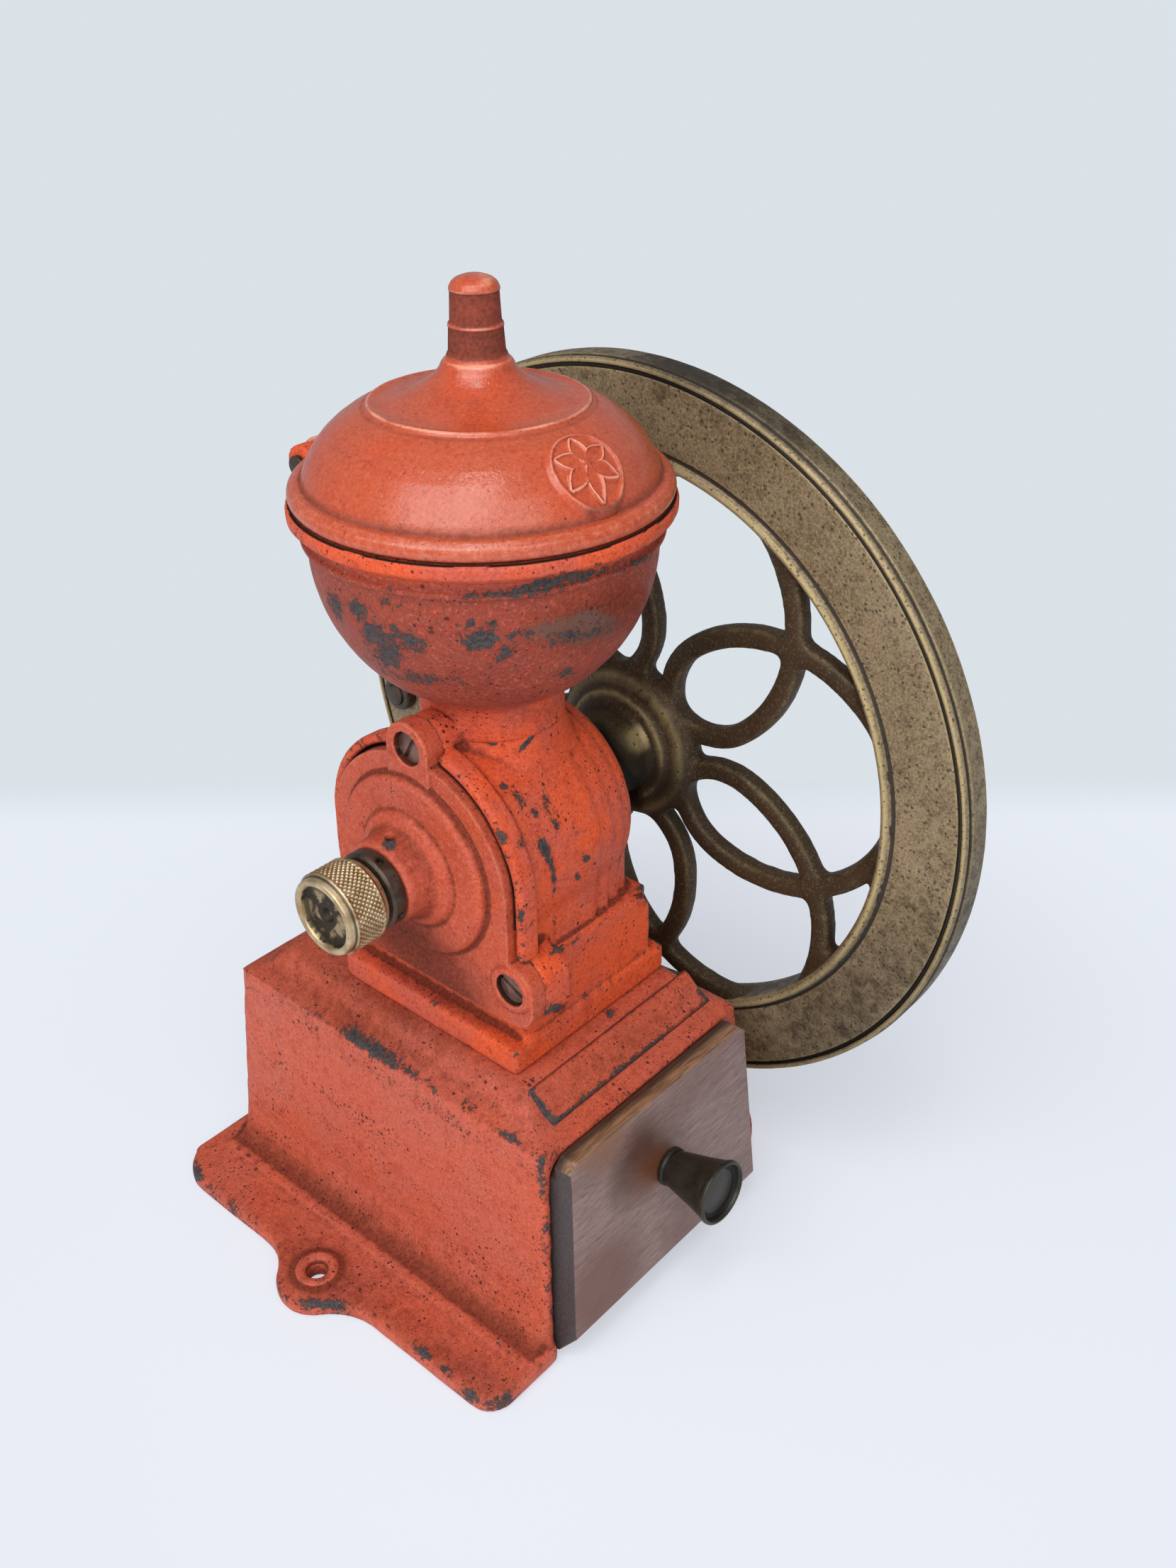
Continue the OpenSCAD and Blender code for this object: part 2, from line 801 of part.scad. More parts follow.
module flywheel() {
    face = wheel_x;
    back = wheel_x + rim_t;
    color(iron)
        at_axle()
            difference() {
                union() {
                    spin_x()
                        polygon([[rim_in, face + 0.6], [rim_in + 0.8, face - 0.6], [rim_in + 2, face - 1.2],
                            [rim_in + 3.2, face - 0.6], [rim_in + 3.8, face + 0.8], [rim_in + 4.8, face + 1],
                            [wheel_r - 3.6, face + 0.8], [wheel_r - 3.2, face + 1.6], [wheel_r - 2.5, face + 1.6],
                            [wheel_r - 2.1, face + 0.4], [wheel_r - 1.2, face + 0.3], [wheel_r - 0.5, face + 1],
                            [wheel_r - 0.4, face + 2], [wheel_r - 1, face + 2.4], [wheel_r - 1, face + 3],
                            [wheel_r, face + 3.5], [wheel_r, back - 1.4], [wheel_r - 1.2, back - 0.2],
                            [wheel_r - 3, back], [wheel_r - 4, back - 1], [rim_in + 5, back - 1],
                            [rim_in + 4, back], [rim_in + 1, back], [rim_in, back - 1]]);
                    along_x(face + 1.4, face + 8.6)
                        spokes();
                    spin_x()
                        polygon([[0, hub_x0], [hub_r - 1.5, hub_x0], [hub_r, hub_x0 + 1.5],
                            [hub_r, hub_flange_x - 6], [hub_r + 1.5, hub_flange_x - 4],
                            [hub_r + 4.5, hub_flange_x - 3.4], [hub_r + 6, hub_flange_x - 1.6],
                            [hub_r + 10.5, hub_flange_x - 0.6], [hub_r + 13, hub_flange_x + 2.4],
                            [hub_r + 13, face + 7], [hub_r + 10, face + 9], [hub_r + 2, face + 9.6],
                            [hub_r, hub_x1 - 1], [hub_r - 1, hub_x1], [0, hub_x1]]);
                }
                cyl_x(hub_x0 - 5, hub_x1 + 5, shaft_r + seat_gap);
                handle_place()
                    cyl_x(face - 10, back + 10, spindle_r + seat_gap);
                translate([hub_x0 + 4, -1.5 - seat_gap, 0])
                    cube([40, 3 + 2 * seat_gap, shaft_r + 2]);
            }
}

module handle_place() {
    translate([0, -handle_r * cos(handle_a), handle_r * sin(handle_a)])
        children();
}

module wheel_key() {
    color(steel)
        at_axle()
            translate([hub_x0 + 4, -1.5, shaft_r - 2])
                cube([18, 3, 3.9]);
}

module hub_washer() {
    color(steel)
        at_axle()
            difference() {
                cyl_x(hub_x1, hub_x1 + washer_t, 12.5);
                cyl_x(hub_x1 - 1, hub_x1 + 5, shaft_r - 1 + 0.3);
            }
}

module hub_nut() {
    x0 = hub_x1 + washer_t;
    color(steel)
        at_axle()
            difference() {
                translate([x0, 0, 0])
                    rotate([0, 90, 0])
                        cylinder(h = nut_t, r = nut_r, $fn = 6);
                cyl_x(x0 - 1, x0 + nut_t + 1, shaft_r - 1 + seat_gap);
            }
}

module handle_spindle() {
    back = wheel_x + rim_t;
    color(steel)
        at_axle()
            handle_place()
                union() {
                    cyl_x(wheel_x - 4.4, grip_x1 + 0.4, spindle_r);
                    cyl_x(back, back + collar_t, 8.5);
                    cyl_x(grip_x1 + 0.3, grip_x1 + 6, 2.5);
                }
}

module spindle_nut() {
    color(bronze)
        at_axle()
            handle_place()
                difference() {
                    spin_x()
                        polygon([[0, wheel_x - 3.6], [6, wheel_x - 3.6], [7, wheel_x - 2.6], [7, wheel_x + 0.8],
                            [0, wheel_x + 0.8]]);
                    cyl_x(wheel_x - 9, wheel_x + 5, spindle_r + seat_gap);
                }
}

module handle_grip() {
    l = grip_len;
    color(wood)
        at_axle()
            handle_place()
                translate([grip_x0, 0, 0])
                    difference() {
                        spin_x()
                            polygon([[0, 0], [8.4, 0], [9.4, 1], [9.4, 3.4], [8.2, 5], [8, 7], [8.6, 0.14 * l],
                                [9.8, 0.22 * l], [grip_r - 1.4, 0.36 * l], [grip_r - 0.3, 0.52 * l],
                                [grip_r, 0.66 * l], [grip_r - 0.4, 0.78 * l], [grip_r - 2, 0.88 * l],
                                [grip_r - 4.6, 0.96 * l], [grip_r - 6, l], [0, l]]);
                        cyl_x(-1, l + 1, spindle_r + 0.08);
                    }
}

module grip_screw() {
    color(steel)
        at_axle()
            handle_place()
                difference() {
                    spin_x()
                        polygon([[2.5 + seat_gap, grip_x1 + 0.4], [6.5, grip_x1 + 0.4], [6.5, grip_x1 + 2],
                            [5.2, grip_x1 + 4], [2.5 + seat_gap, grip_x1 + 4.6]]);
                    translate([grip_x1 + 4.6, 0, 0])
                        cube([2, 20, 1.2], center = true);
                }
}

// lid
module lid_outline() {
    k = rim_r / 55;
    h = lid_h / 59;
    outside = [[47, 0.2], [53, 0.2], [54, 1.2], [54.3, 2.6], [53.8, 4.4], [52.4, 5.6], [51, 5.8], [50, 6.6],
        [49.4, 8.4], [48.1, 11], [46.2, 14], [43.7, 17], [40.6, 19.8], [37, 22.4], [33.4, 24.4], [31, 25.5],
        [30.4, 26.3], [29.4, 26.4], [28, 26], [24, 26.6], [19, 28.4], [15, 30.6], [12, 33], [9.9, 36],
        [8.8, 37.6], [8.4, 38.6], [7.7, 39], [7.1, 46], [6.9, 46.6], [6.5, 54], [6, 56], [4.6, 57.8],
        [2.4, 58.8], [0, 59]];
    inside = [[0, 29], [8, 27.6], [16, 24.4], [24, 22.2], [30, 21.4], [36, 18.4], [40, 15.4], [43, 12],
        [45, 8], [46, 4]];
    polygon([for (p = concat(outside, inside)) [k * p[0], rim_z + h * p[1]]]);
}

module lid() {
    color(red)
        translate([0, axle_y, 0])
            difference() {
                union() {
                    rotate_extrude()
                        lid_outline();
                    difference() {
                        union() {
                            translate([0, hinge_y, hinge_z])
                                cyl_x(-knuckle_half, knuckle_half, 5.4);
                            along_x(-knuckle_half, knuckle_half)
                                polygon([[-hinge_y, hinge_z - 5.4], [-hinge_y - 5.4, hinge_z],
                                    [-hinge_y - 4.6, hinge_z + 5.4], [-rim_r + 7, rim_z + 10],
                                    [-rim_r + 8, rim_z + 4], [-rim_r - 0.6, rim_z + 0.6],
                                    [-rim_r - 0.6, hinge_z - 1]]);
                        }
                        translate([0, 0, rim_z - 20])
                            cylinder(h = 20.2, r = rim_r + 0.5);
                        translate([0, 0, rim_z - 1])
                            cylinder(h = 18, r = rim_r - 9);
                    }
                }
                translate([0, hinge_y, hinge_z])
                    cyl_x(-20, 20, hinge_pin_r + run_gap);
            }
}

module hinge_pin() {
    half = knuckle_half + 0.4 + ear_w;
    color(steel)
        translate([0, axle_y + hinge_y, hinge_z]) {
            cyl_x(-half - 0.8, half + 0.8, hinge_pin_r);
            cyl_x(-half - 1.8, -half, hinge_pin_r + 1.2);
            cyl_x(half, half + 1.8, hinge_pin_r + 1.2);
        }
}

// drawer
module tilt_front() {
    translate([0, front_y - front_draft, 0])
        rotate([-front_tilt, 0, 0])
            children();
}

module drawer_front() {
    b = 3;
    color(wood)
        difference() {
            tilt_front()
                along_y(-board_proud, board_t - board_proud)
                    polygon([[-board_out_low, board_low], [board_out_low - 4, board_low],
                        [board_out_top - 1.6, board_top - b], [board_out_top - 2 - b, board_top],
                        [-board_out_top + b, board_top], [-board_out_top - 0.4, board_top - b]]);
            tilt_front()
                along_x(-100, 100)
                    polygon([[board_proud + 1, -9], [board_proud + 1, board_low + 10.6], [board_proud - 0.5, board_low + 8.8],
                        [0, board_low], [0, -9]]);
            translate([-drawer_half - 0.2, drawer_y0, rail_z])
                cube([side_t + 0.4, 60, drawer_side_h + 1]);
            translate([drawer_half - side_t - 0.2, drawer_y0, rail_z])
                cube([side_t + 0.4, 60, drawer_side_h + 1]);
            at_pull()
                rotate([90, 0, 0])
                    cylinder(h = 80, r = 2.6, center = true);
        }
}

module drawer_sides() {
    color(wood)
        for (s = [-1, 1])
            translate([s > 0 ? drawer_half - side_t : -drawer_half, drawer_y0, rail_z + 0.4])
                difference() {
                    cube([side_t, drawer_len + 6, drawer_side_h]);
                    translate([s > 0 ? -1 : side_t - 2, 4, 4])
                        cube([3, drawer_len - 4, 4.2]);
                }
}

module drawer_back() {
    color(wood)
        translate([-drawer_half + side_t, drawer_y0 + drawer_len, rail_z + 0.4])
            cube([2 * (drawer_half - side_t), 6, drawer_side_h]);
}

module drawer_bottom() {
    color(wood)
        translate([-drawer_half + side_t - 1.8, drawer_y0 + 6, rail_z + 4.5])
            cube([2 * (drawer_half - side_t + 1.8), drawer_len - 6.2, 4]);
}

module at_pull() {
    tilt_front()
        translate([0, -board_proud - 0.02, pull_z])
            children();
}

module drawer_knob() {
    l = pull_len;
    color(bronze)
        at_pull()
            rotate([90, 0, 0])
                difference() {
                    rotate_extrude()
                        polygon([[0, 0], [5.2, 0], [5.6, 0.6], [6, 0.1 * l], [pull_r - 2.4, 0.6 * l],
                            [pull_r - 0.6, l - 2.4], [pull_r, l - 1.4], [pull_r, l - 0.4], [pull_r - 0.5, l],
                            [pull_r - 1.3, l], [pull_r - 1.9, l - 1], [pull_r - 4, l - 2], [0, l - 2.4]]);
                    translate([0, 0, -2])
                        cylinder(h = 12, r = 2.3);
                }
}

module knob_screw() {
    color(steel)
        at_pull()
            rotate([90, 0, 0])
                union() {
                    translate([0, 0, -board_t - 1.4])
                        cylinder(h = board_t + 9, r = 2.25);
                    translate([0, 0, -board_t - 3])
                        cylinder(h = 2.4, r = 5);
                }
}

base_box();
mill_body();
hopper();
hopper_screw();
body_bolts();
front_cover();
cover_screws();
burr_ring();
rear_bush();
lock_ring();
adjuster_knob();
thrust_pad();
shaft();
rotor_burr();
feed_worm();
burr_pin();
flywheel();
wheel_key();
hub_washer();
hub_nut();
handle_spindle();
spindle_nut();
handle_grip();
grip_screw();
lid();
hinge_pin();
drawer_front();
drawer_sides();
drawer_back();
drawer_bottom();
drawer_knob();
knob_screw();
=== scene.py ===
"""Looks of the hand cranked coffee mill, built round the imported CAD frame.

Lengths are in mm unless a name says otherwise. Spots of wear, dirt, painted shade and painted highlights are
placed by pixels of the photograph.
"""

import math

import bmesh
import bpy
import numpy as np
from mathutils import Matrix, Vector, noise


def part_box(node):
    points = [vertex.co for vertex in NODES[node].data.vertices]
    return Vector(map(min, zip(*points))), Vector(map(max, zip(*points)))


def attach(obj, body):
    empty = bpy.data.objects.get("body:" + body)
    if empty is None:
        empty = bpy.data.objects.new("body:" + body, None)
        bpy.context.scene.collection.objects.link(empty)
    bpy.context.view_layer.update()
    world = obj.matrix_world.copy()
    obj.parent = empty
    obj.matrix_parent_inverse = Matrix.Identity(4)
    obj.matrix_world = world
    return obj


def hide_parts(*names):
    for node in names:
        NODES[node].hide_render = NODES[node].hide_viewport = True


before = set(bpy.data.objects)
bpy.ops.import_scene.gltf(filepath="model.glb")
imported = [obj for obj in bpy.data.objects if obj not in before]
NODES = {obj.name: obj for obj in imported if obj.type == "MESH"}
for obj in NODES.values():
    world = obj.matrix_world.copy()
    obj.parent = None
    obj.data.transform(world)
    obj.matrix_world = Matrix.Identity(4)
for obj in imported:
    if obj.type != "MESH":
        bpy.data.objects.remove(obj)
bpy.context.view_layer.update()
MM = 0.001

# Places in the CAD frame
AXLE_Y, AXLE_Z = -12.5, 155.0
RIM_Z = 263.3
BOX_TOP, PLATE_Z = 81.0, 92.0
WHEEL_X, RIM_T = 63.6, 13.0
WHEEL_R, RIM_IN = 130.5, 101.0
EAR_X, EAR_Z = 82.5, 7.0
UPWARD, WHEELWARD, KNOBWARD = (0, 0, 1), (1, 0, 0), (-1, 0, 0)


def bearing(azimuth, elevation):
    """The way from the object to a place at these angles in degrees."""
    a, e = math.radians(azimuth), math.radians(elevation)
    return Vector((math.sin(a) * math.cos(e), -math.cos(a) * math.cos(e), math.sin(e)))


# Camera, fitted to the photograph, with azimuth and elevation in degrees
CAM_AZ, CAM_EL = -48.843, 31.381
CAM_ROLL = math.radians(-0.342)
CAM_FAR = 542.95
CAM_TARGET = Vector((63.79, 4.79, 130.24))
PHOTO_WIDE, PHOTO_TALL, FOCAL_PX = 1659.0, 2212.0, 2127.6
SENSOR = 36.0
BACK = bearing(CAM_AZ, CAM_EL)
LEVEL = (-BACK).cross(Vector(UPWARD)).normalized()
RIGHT = LEVEL * math.cos(CAM_ROLL) + LEVEL.cross(-BACK) * math.sin(CAM_ROLL)
UP = BACK.cross(RIGHT)
EYE = CAM_TARGET + BACK * CAM_FAR


def show(ob):
    bpy.context.scene.collection.objects.link(ob)


def make_camera():
    data = bpy.data.cameras.new("photo_camera")
    data.sensor_fit = "AUTO"
    data.sensor_width = SENSOR
    data.lens = SENSOR * FOCAL_PX / PHOTO_TALL
    data.clip_start, data.clip_end = 0.01, 50.0
    cam = bpy.data.objects.new("photo_camera", data)
    place = Matrix((RIGHT, UP, BACK)).transposed().to_4x4()
    place.translation = EYE * MM
    cam.matrix_world = place
    show(cam)
    bpy.context.scene.camera = cam


def photo_px(co, nor):
    """Where points fall in the photograph, in pixels, and which of them face the camera."""
    ray = co - np.array(EYE)
    deep = -(ray @ np.array(BACK))
    x = PHOTO_WIDE / 2 + FOCAL_PX * (ray @ np.array(RIGHT)) / deep
    y = PHOTO_TALL / 2 - FOCAL_PX * (ray @ np.array(UP)) / deep
    return x, y, (ray * nor).sum(1) < 0


# Node material helpers
def linear(levels):
    """A shader's colour from display levels of 0 to 255."""
    parts = [v / 255 for v in levels]
    return tuple(c / 12.92 if c <= 0.04045 else ((c + 0.055) / 1.055) ** 2.4 for c in parts) + (1.0,)


class Looks:
    """A principled material and short names for the nodes that feed it. Coordinates are in mm on the part."""

    def __init__(self, name):
        self.mat = bpy.data.materials.new(name)
        self.mat.use_nodes = True
        self.tree = self.mat.node_tree
        self.tree.nodes.clear()
        out = self.node("OutputMaterial")
        self.bsdf = self.node("BsdfPrincipled")
        self.put(out.inputs[0], self.bsdf.outputs[0])
        self.at = self.vec("SCALE", self.node("TexCoord").outputs["Object"], 1 / MM)

    def node(self, kind, **inputs):
        """A new node. Keys are names of inputs, with an underscore for each space."""
        n = self.tree.nodes.new("ShaderNode" + kind)
        for key, value in inputs.items():
            self.put(n.inputs[key.replace("_", " ")], value)
        return n

    def put(self, socket, value):
        """Links a value to an input or sets it there. A colour is three display levels."""
        if isinstance(value, bpy.types.NodeSocket):
            self.tree.links.new(value, socket)
        else:
            socket.default_value = linear(value) if socket.type == "RGBA" else value

    def set(self, name, value):
        self.put(self.bsdf.inputs[name], value)

    def vec(self, op, a, b):
        n = self.node("VectorMath")
        n.operation = op
        self.put(n.inputs[0], a)
        self.put(n.inputs["Scale"] if op == "SCALE" else n.inputs[1], b)
        return n.outputs["Value" if op in ("DISTANCE", "DOT_PRODUCT") else "Vector"]

    def math(self, op, a, b):
        n = self.node("Math")
        n.operation = op
        self.put(n.inputs[0], a)
        self.put(n.inputs[1], b)
        return n.outputs[0]

    def add(self, *terms):
        total = terms[0]
        for t in terms[1:]:
            total = self.math("ADD", total, t)
        return total

    def times(self, a, b):
        return self.math("MULTIPLY", a, b)

    def weigh(self, *pairs):
        return self.add(*[self.times(value, weight) for value, weight in pairs])

    def centred(self, value):
        return self.math("SUBTRACT", value, 0.5)

    def noise(self, size, detail=2.0, rough=0.5, distort=0.0, at=None):
        n = self.node("TexNoise", Vector=at or self.at, Scale=1.0 / size, Detail=detail, Roughness=rough,
                      Distortion=distort)
        return n.outputs[0]

    def cells(self, size):
        n = self.node("TexVoronoi", Vector=self.at, Scale=1.0 / size)
        return n.outputs["Distance"], self.node("SeparateColor", Color=n.outputs["Color"]).outputs[0]

    def step(self, value, low, high, to_low=0.0, to_high=1.0):
        n = self.node("MapRange", Value=value, From_Min=low, From_Max=high, To_Min=to_low, To_Max=to_high)
        n.interpolation_type = "SMOOTHSTEP"
        return n.outputs["Result"]

    def mix(self, fac, a, b):
        n = self.node("Mix")
        n.data_type = "RGBA"
        for i, value in ((0, fac), (6, a), (7, b)):
            self.put(n.inputs[i], value)
        return n.outputs[2]

    def tint(self, under, value, low, high, amount, colour):
        """Lays a colour over another where the value goes from low to high."""
        return self.mix(self.step(value, low, high, 0.0, amount), under, colour)

    def blend(self, fac, a, b):
        n = self.node("Mix")
        for i, value in ((0, fac), (2, a), (3, b)):
            self.put(n.inputs[i], value)
        return n.outputs[0]

    def attr(self, name):
        n = self.node("Attribute")
        n.attribute_name = name
        return n.outputs["Fac"]

    def part_of(self, vector, which):
        return self.node("SeparateXYZ", Vector=vector).outputs[which]

    def facing(self, which):
        return self.part_of(self.node("TexCoord").outputs["Normal"], which)

    def stretch(self, sx, sy, sz, turn=(0, 0, 0)):
        return self.node("Mapping", Vector=self.at, Scale=(sx, sy, sz), Rotation=turn).outputs[0]

    def specks(self, size, fewest):
        dist, rand = self.cells(size)
        radius = self.times(self.math("SUBTRACT", rand, fewest), 0.8)
        return self.step(self.math("SUBTRACT", radius, dist), 0.0, 0.08)

    def bump(self, height, depth_mm, strength):
        n = self.node("Bump", Strength=strength, Distance=depth_mm * MM, Height=height)
        self.set("Normal", n.outputs[0])


# Colours that all the red paint shares, in display levels. The soil colours also serve as painted shade in
# hollows, the black one as painted shade in gaps and holes, and the rubbed colour also as painted highlight
# on edges.
FADED = (150, 66, 47), (138, 60, 47)
MOTTLE, CHALK, DEEP, GRAIN = (176, 62, 38), (222, 122, 98), (136, 46, 30), (118, 42, 28)
RUBBED_AND_HIGHLIGHT, SMEAR, SPECK = (242, 168, 138), (104, 80, 70), (66, 30, 25)
SOIL_AND_SHADE, GAP_SHADE_BLACK = ((88, 34, 20), (128, 54, 34)), (26, 14, 11)
PRIMER, BARE_IRON, RUST = (112, 54, 40), ((48, 44, 47), (82, 75, 75)), (92, 70, 56)


def red_paint(name, warm, dull, edges, specks, dust_and_top_shade, shine, pale=0.0, rough=(0.42, 0.56), crease_shade=0.95,
              bloom=0.42, relief=0.3):
    """Old vermilion paint on cast iron: mottled, pitted, soiled with painted shade in hollows and on upward
    faces, paler on edges as rubbed paint and painted highlight, chipped to dark iron at edges.
    """
    k = Looks(name)
    mid = k.noise(4.5, 4, 0.62, 0.4)
    fine = k.noise(1.1, 4, 0.65)
    grain = k.noise(0.45, 2, 0.5)
    patch = k.centred(k.noise(9, 5, 0.68, 0.5))
    rag = k.centred(k.noise(2.2, 5, 0.72, 0.6))
    swing = k.centred(mid)
    cloud = k.step(k.noise(30, 3, 0.55, 0.4), 0.36, 0.66)
    edge, dirt_and_shade = k.attr("edge"), k.attr("dirt_and_shade")
    red = k.mix(cloud, warm, dull)
    red = k.mix(k.attr("faded"), red, k.mix(cloud, *FADED))
    red = k.tint(red, mid, 0.5, 0.7, 0.5, MOTTLE)
    red = k.tint(red, fine, 0.5, 0.7, bloom, CHALK)
    red = k.tint(red, fine, 0.48, 0.3, 0.55, DEEP)
    red = k.tint(red, grain, 0.55, 0.7, 0.3, GRAIN)
    # Edges lighten towards the rubbed colour: rubbed paint and painted highlight.
    red = k.tint(red, k.add(edge, k.times(rag, 0.25)), 0.04, 0.22, pale, RUBBED_AND_HIGHLIGHT)
    # Darker on upward faces as dust and painted shade, and in hollows and creases as painted shade, with soil
    # noise.
    upper = k.step(k.facing(2), 0.2, 0.8)
    hollow_shade = k.step(k.weigh((edge, -1.0), (rag, 0.15)), 0.02, 0.22)
    soil_and_shade = k.add(dirt_and_shade, k.weigh((upper, dust_and_top_shade), (hollow_shade, crease_shade), (swing, 0.6), (rag, 0.5)))
    red = k.tint(red, soil_and_shade, 0.0, 1.1, 0.94, k.mix(k.step(fine, 0.3, 0.7), *SOIL_AND_SHADE))
    # Black where the dirt attribute is high: painted shade in gaps and holes.
    red = k.tint(red, dirt_and_shade, 1.3, 2.0, 1.0, GAP_SHADE_BLACK)
    red = k.tint(red, k.add(k.attr("smear"), k.weigh((rag, 1.2), (swing, 0.8))), 0.25, 0.85, 0.85, SMEAR)
    cluster = k.step(k.noise(15, 2, 0.5), 0.42, 0.6)
    speck = k.specks(1.9, k.blend(cluster, specks + 0.18, specks))
    small = k.specks(1.05, k.blend(cluster, specks + 0.1, specks - 0.04))
    large = k.specks(2.6, k.blend(cluster, specks + 0.44, specks + 0.32))
    spots = k.math("MAXIMUM", large, k.math("MAXIMUM", speck, small))
    red = k.mix(k.times(spots, 0.88), red, SPECK)
    raw = k.weigh((edge, edges), (k.attr("chip"), 0.5), (patch, 1.0), (rag, 1.5), (k.centred(fine), 0.8))
    chip = k.step(raw, 0.46, 0.51)
    red = k.tint(red, raw, 0.24, 0.46, 0.6, PRIMER)
    iron = k.tint(k.mix(k.step(fine, 0.35, 0.7), *BARE_IRON), mid, 0.52, 0.75, 1.0, RUST)
    k.set("Base Color", k.mix(chip, red, iron))
    gloss = k.blend(chip, k.step(mid, 0.3, 0.7, *rough), k.step(fine, 0.3, 0.7, 0.5, 0.7))
    k.set("Roughness", k.blend(k.step(soil_and_shade, 0.1, 0.9), gloss, 0.85))
    k.set("Specular IOR Level", shine)
    pits, pit_rand = k.cells(1.5)
    pit = k.times(k.step(pits, 0.34, 0.1), k.step(pit_rand, 0.5, 0.8))
    height = k.weigh((fine, 0.9), (mid, 0.5), (grain, 0.25), (pit, -0.6), (chip, -1.0), (speck, -0.5))
    k.bump(height, relief, 0.9)
    return k.mat


# Colours that all the iron of the wheel shares. The polish colour also serves as painted highlight, the soil
# colour also as painted shade in hollows, and the black one is painted shade in grooves and at the hub.
LIGHT_GRAIN, DARK_GRAIN, POLISH_AND_HIGHLIGHT = (174, 154, 118), (70, 54, 36), (188, 168, 118)
RUST_SPECK, FLECK = (64, 48, 34), (176, 164, 138)
IRON_SOIL_AND_SHADE, IRON_SHADE_BLACK = (40, 30, 21), (14, 11, 9)


def wheel_iron(name, face_low, face_high, rust, polish_and_highlight, flecks, bloom, shine):
    """Bare cast iron with old varnish: olive brown, speckled with rust, bright where hands and cloths rub and
    as painted highlight on edges, darkened as painted shade in hollows.
    """
    k = Looks(name)
    mid = k.noise(4.5, 4, 0.65, 0.5)
    fine = k.noise(0.8, 3, 0.6)
    swing = k.centred(mid)
    edge, dirt_and_shade = k.attr("edge"), k.attr("dirt_and_shade")
    face = k.mix(k.step(k.noise(28, 3, 0.5), 0.3, 0.7), face_low, face_high)
    face = k.tint(face, mid, 0.46, 0.7, 0.6, rust)
    face = k.tint(face, fine, 0.5, 0.68, bloom, LIGHT_GRAIN)
    face = k.tint(face, fine, 0.5, 0.32, 0.6, DARK_GRAIN)
    face = k.tint(face, k.add(edge, k.times(swing, 0.2)), *polish_and_highlight, 0.75, POLISH_AND_HIGHLIGHT)
    speck = k.specks(1.5, 0.5)
    face = k.mix(k.times(speck, 0.75), face, RUST_SPECK)
    face = k.mix(k.times(k.specks(2.2, 0.62), flecks), face, FLECK)
    # Hollows darken as painted shade, together with the dirt attribute and noise.
    soil_and_shade = k.add(k.step(k.times(edge, -1.0), 0.015, 0.12), dirt_and_shade, k.times(swing, 0.9))
    face = k.tint(face, soil_and_shade, 0.05, 1.0, 0.94, IRON_SOIL_AND_SHADE)
    face = k.tint(face, dirt_and_shade, 1.3, 2.0, 1.0, IRON_SHADE_BLACK)
    k.set("Base Color", face)
    k.set("Metallic", 0.3)
    k.set("Specular IOR Level", shine)
    k.set("Roughness", k.step(mid, 0.3, 0.7, 0.42, 0.6))
    k.bump(k.weigh((fine, 0.8), (mid, 0.6), (speck, -0.6)), 0.18, 0.8)
    return k.mat


def metal(name, low, high, dark, rough=(0.3, 0.5), metallic=0.85, grime_and_shade=0.5, rub=None):
    """Worn machined metal: two tones, grime and painted shade in hollows and where the dirt attribute says,
    fine scratches.
    """
    k = Looks(name)
    broad = k.noise(6, 4, 0.6, 0.5)
    fine = k.noise(0.5, 3, 0.6)
    swing = k.centred(broad)
    edge, dirt_and_shade = k.attr("edge"), k.attr("dirt_and_shade")
    tone = k.mix(k.step(broad, 0.32, 0.7), low, high)
    tone = k.tint(tone, fine, 0.5, 0.8, grime_and_shade * 0.7, dark)
    tone = k.tint(tone, k.times(edge, -1.0), 0.02, 0.2, grime_and_shade + 0.35, dark)
    soil_and_shade = k.step(k.add(dirt_and_shade, k.times(swing, 1.6)), 0.35, 0.6)
    tone = k.mix(k.times(soil_and_shade, k.step(dirt_and_shade, 0.0, 0.3)), tone, dark)
    tone = k.mix(k.times(k.specks(1.4, 0.6), 0.7), tone, dark)
    if rub:
        tone = k.tint(tone, k.add(edge, k.times(swing, 0.25)), 0.1, 0.3, 0.85, rub)
    k.set("Base Color", tone)
    k.set("Metallic", metallic)
    k.set("Roughness", k.blend(soil_and_shade, k.step(broad, 0.3, 0.7, *rough), 0.6))
    k.bump(k.add(fine, k.times(broad, 0.5)), 0.06, 0.6)
    return k.mat


# Painted shadow of the casting's lip: the board's top darkens between these places in Y
LIP_SHADE, LIP_SHADOW = (-80.4, -77.2), (34, 22, 18)


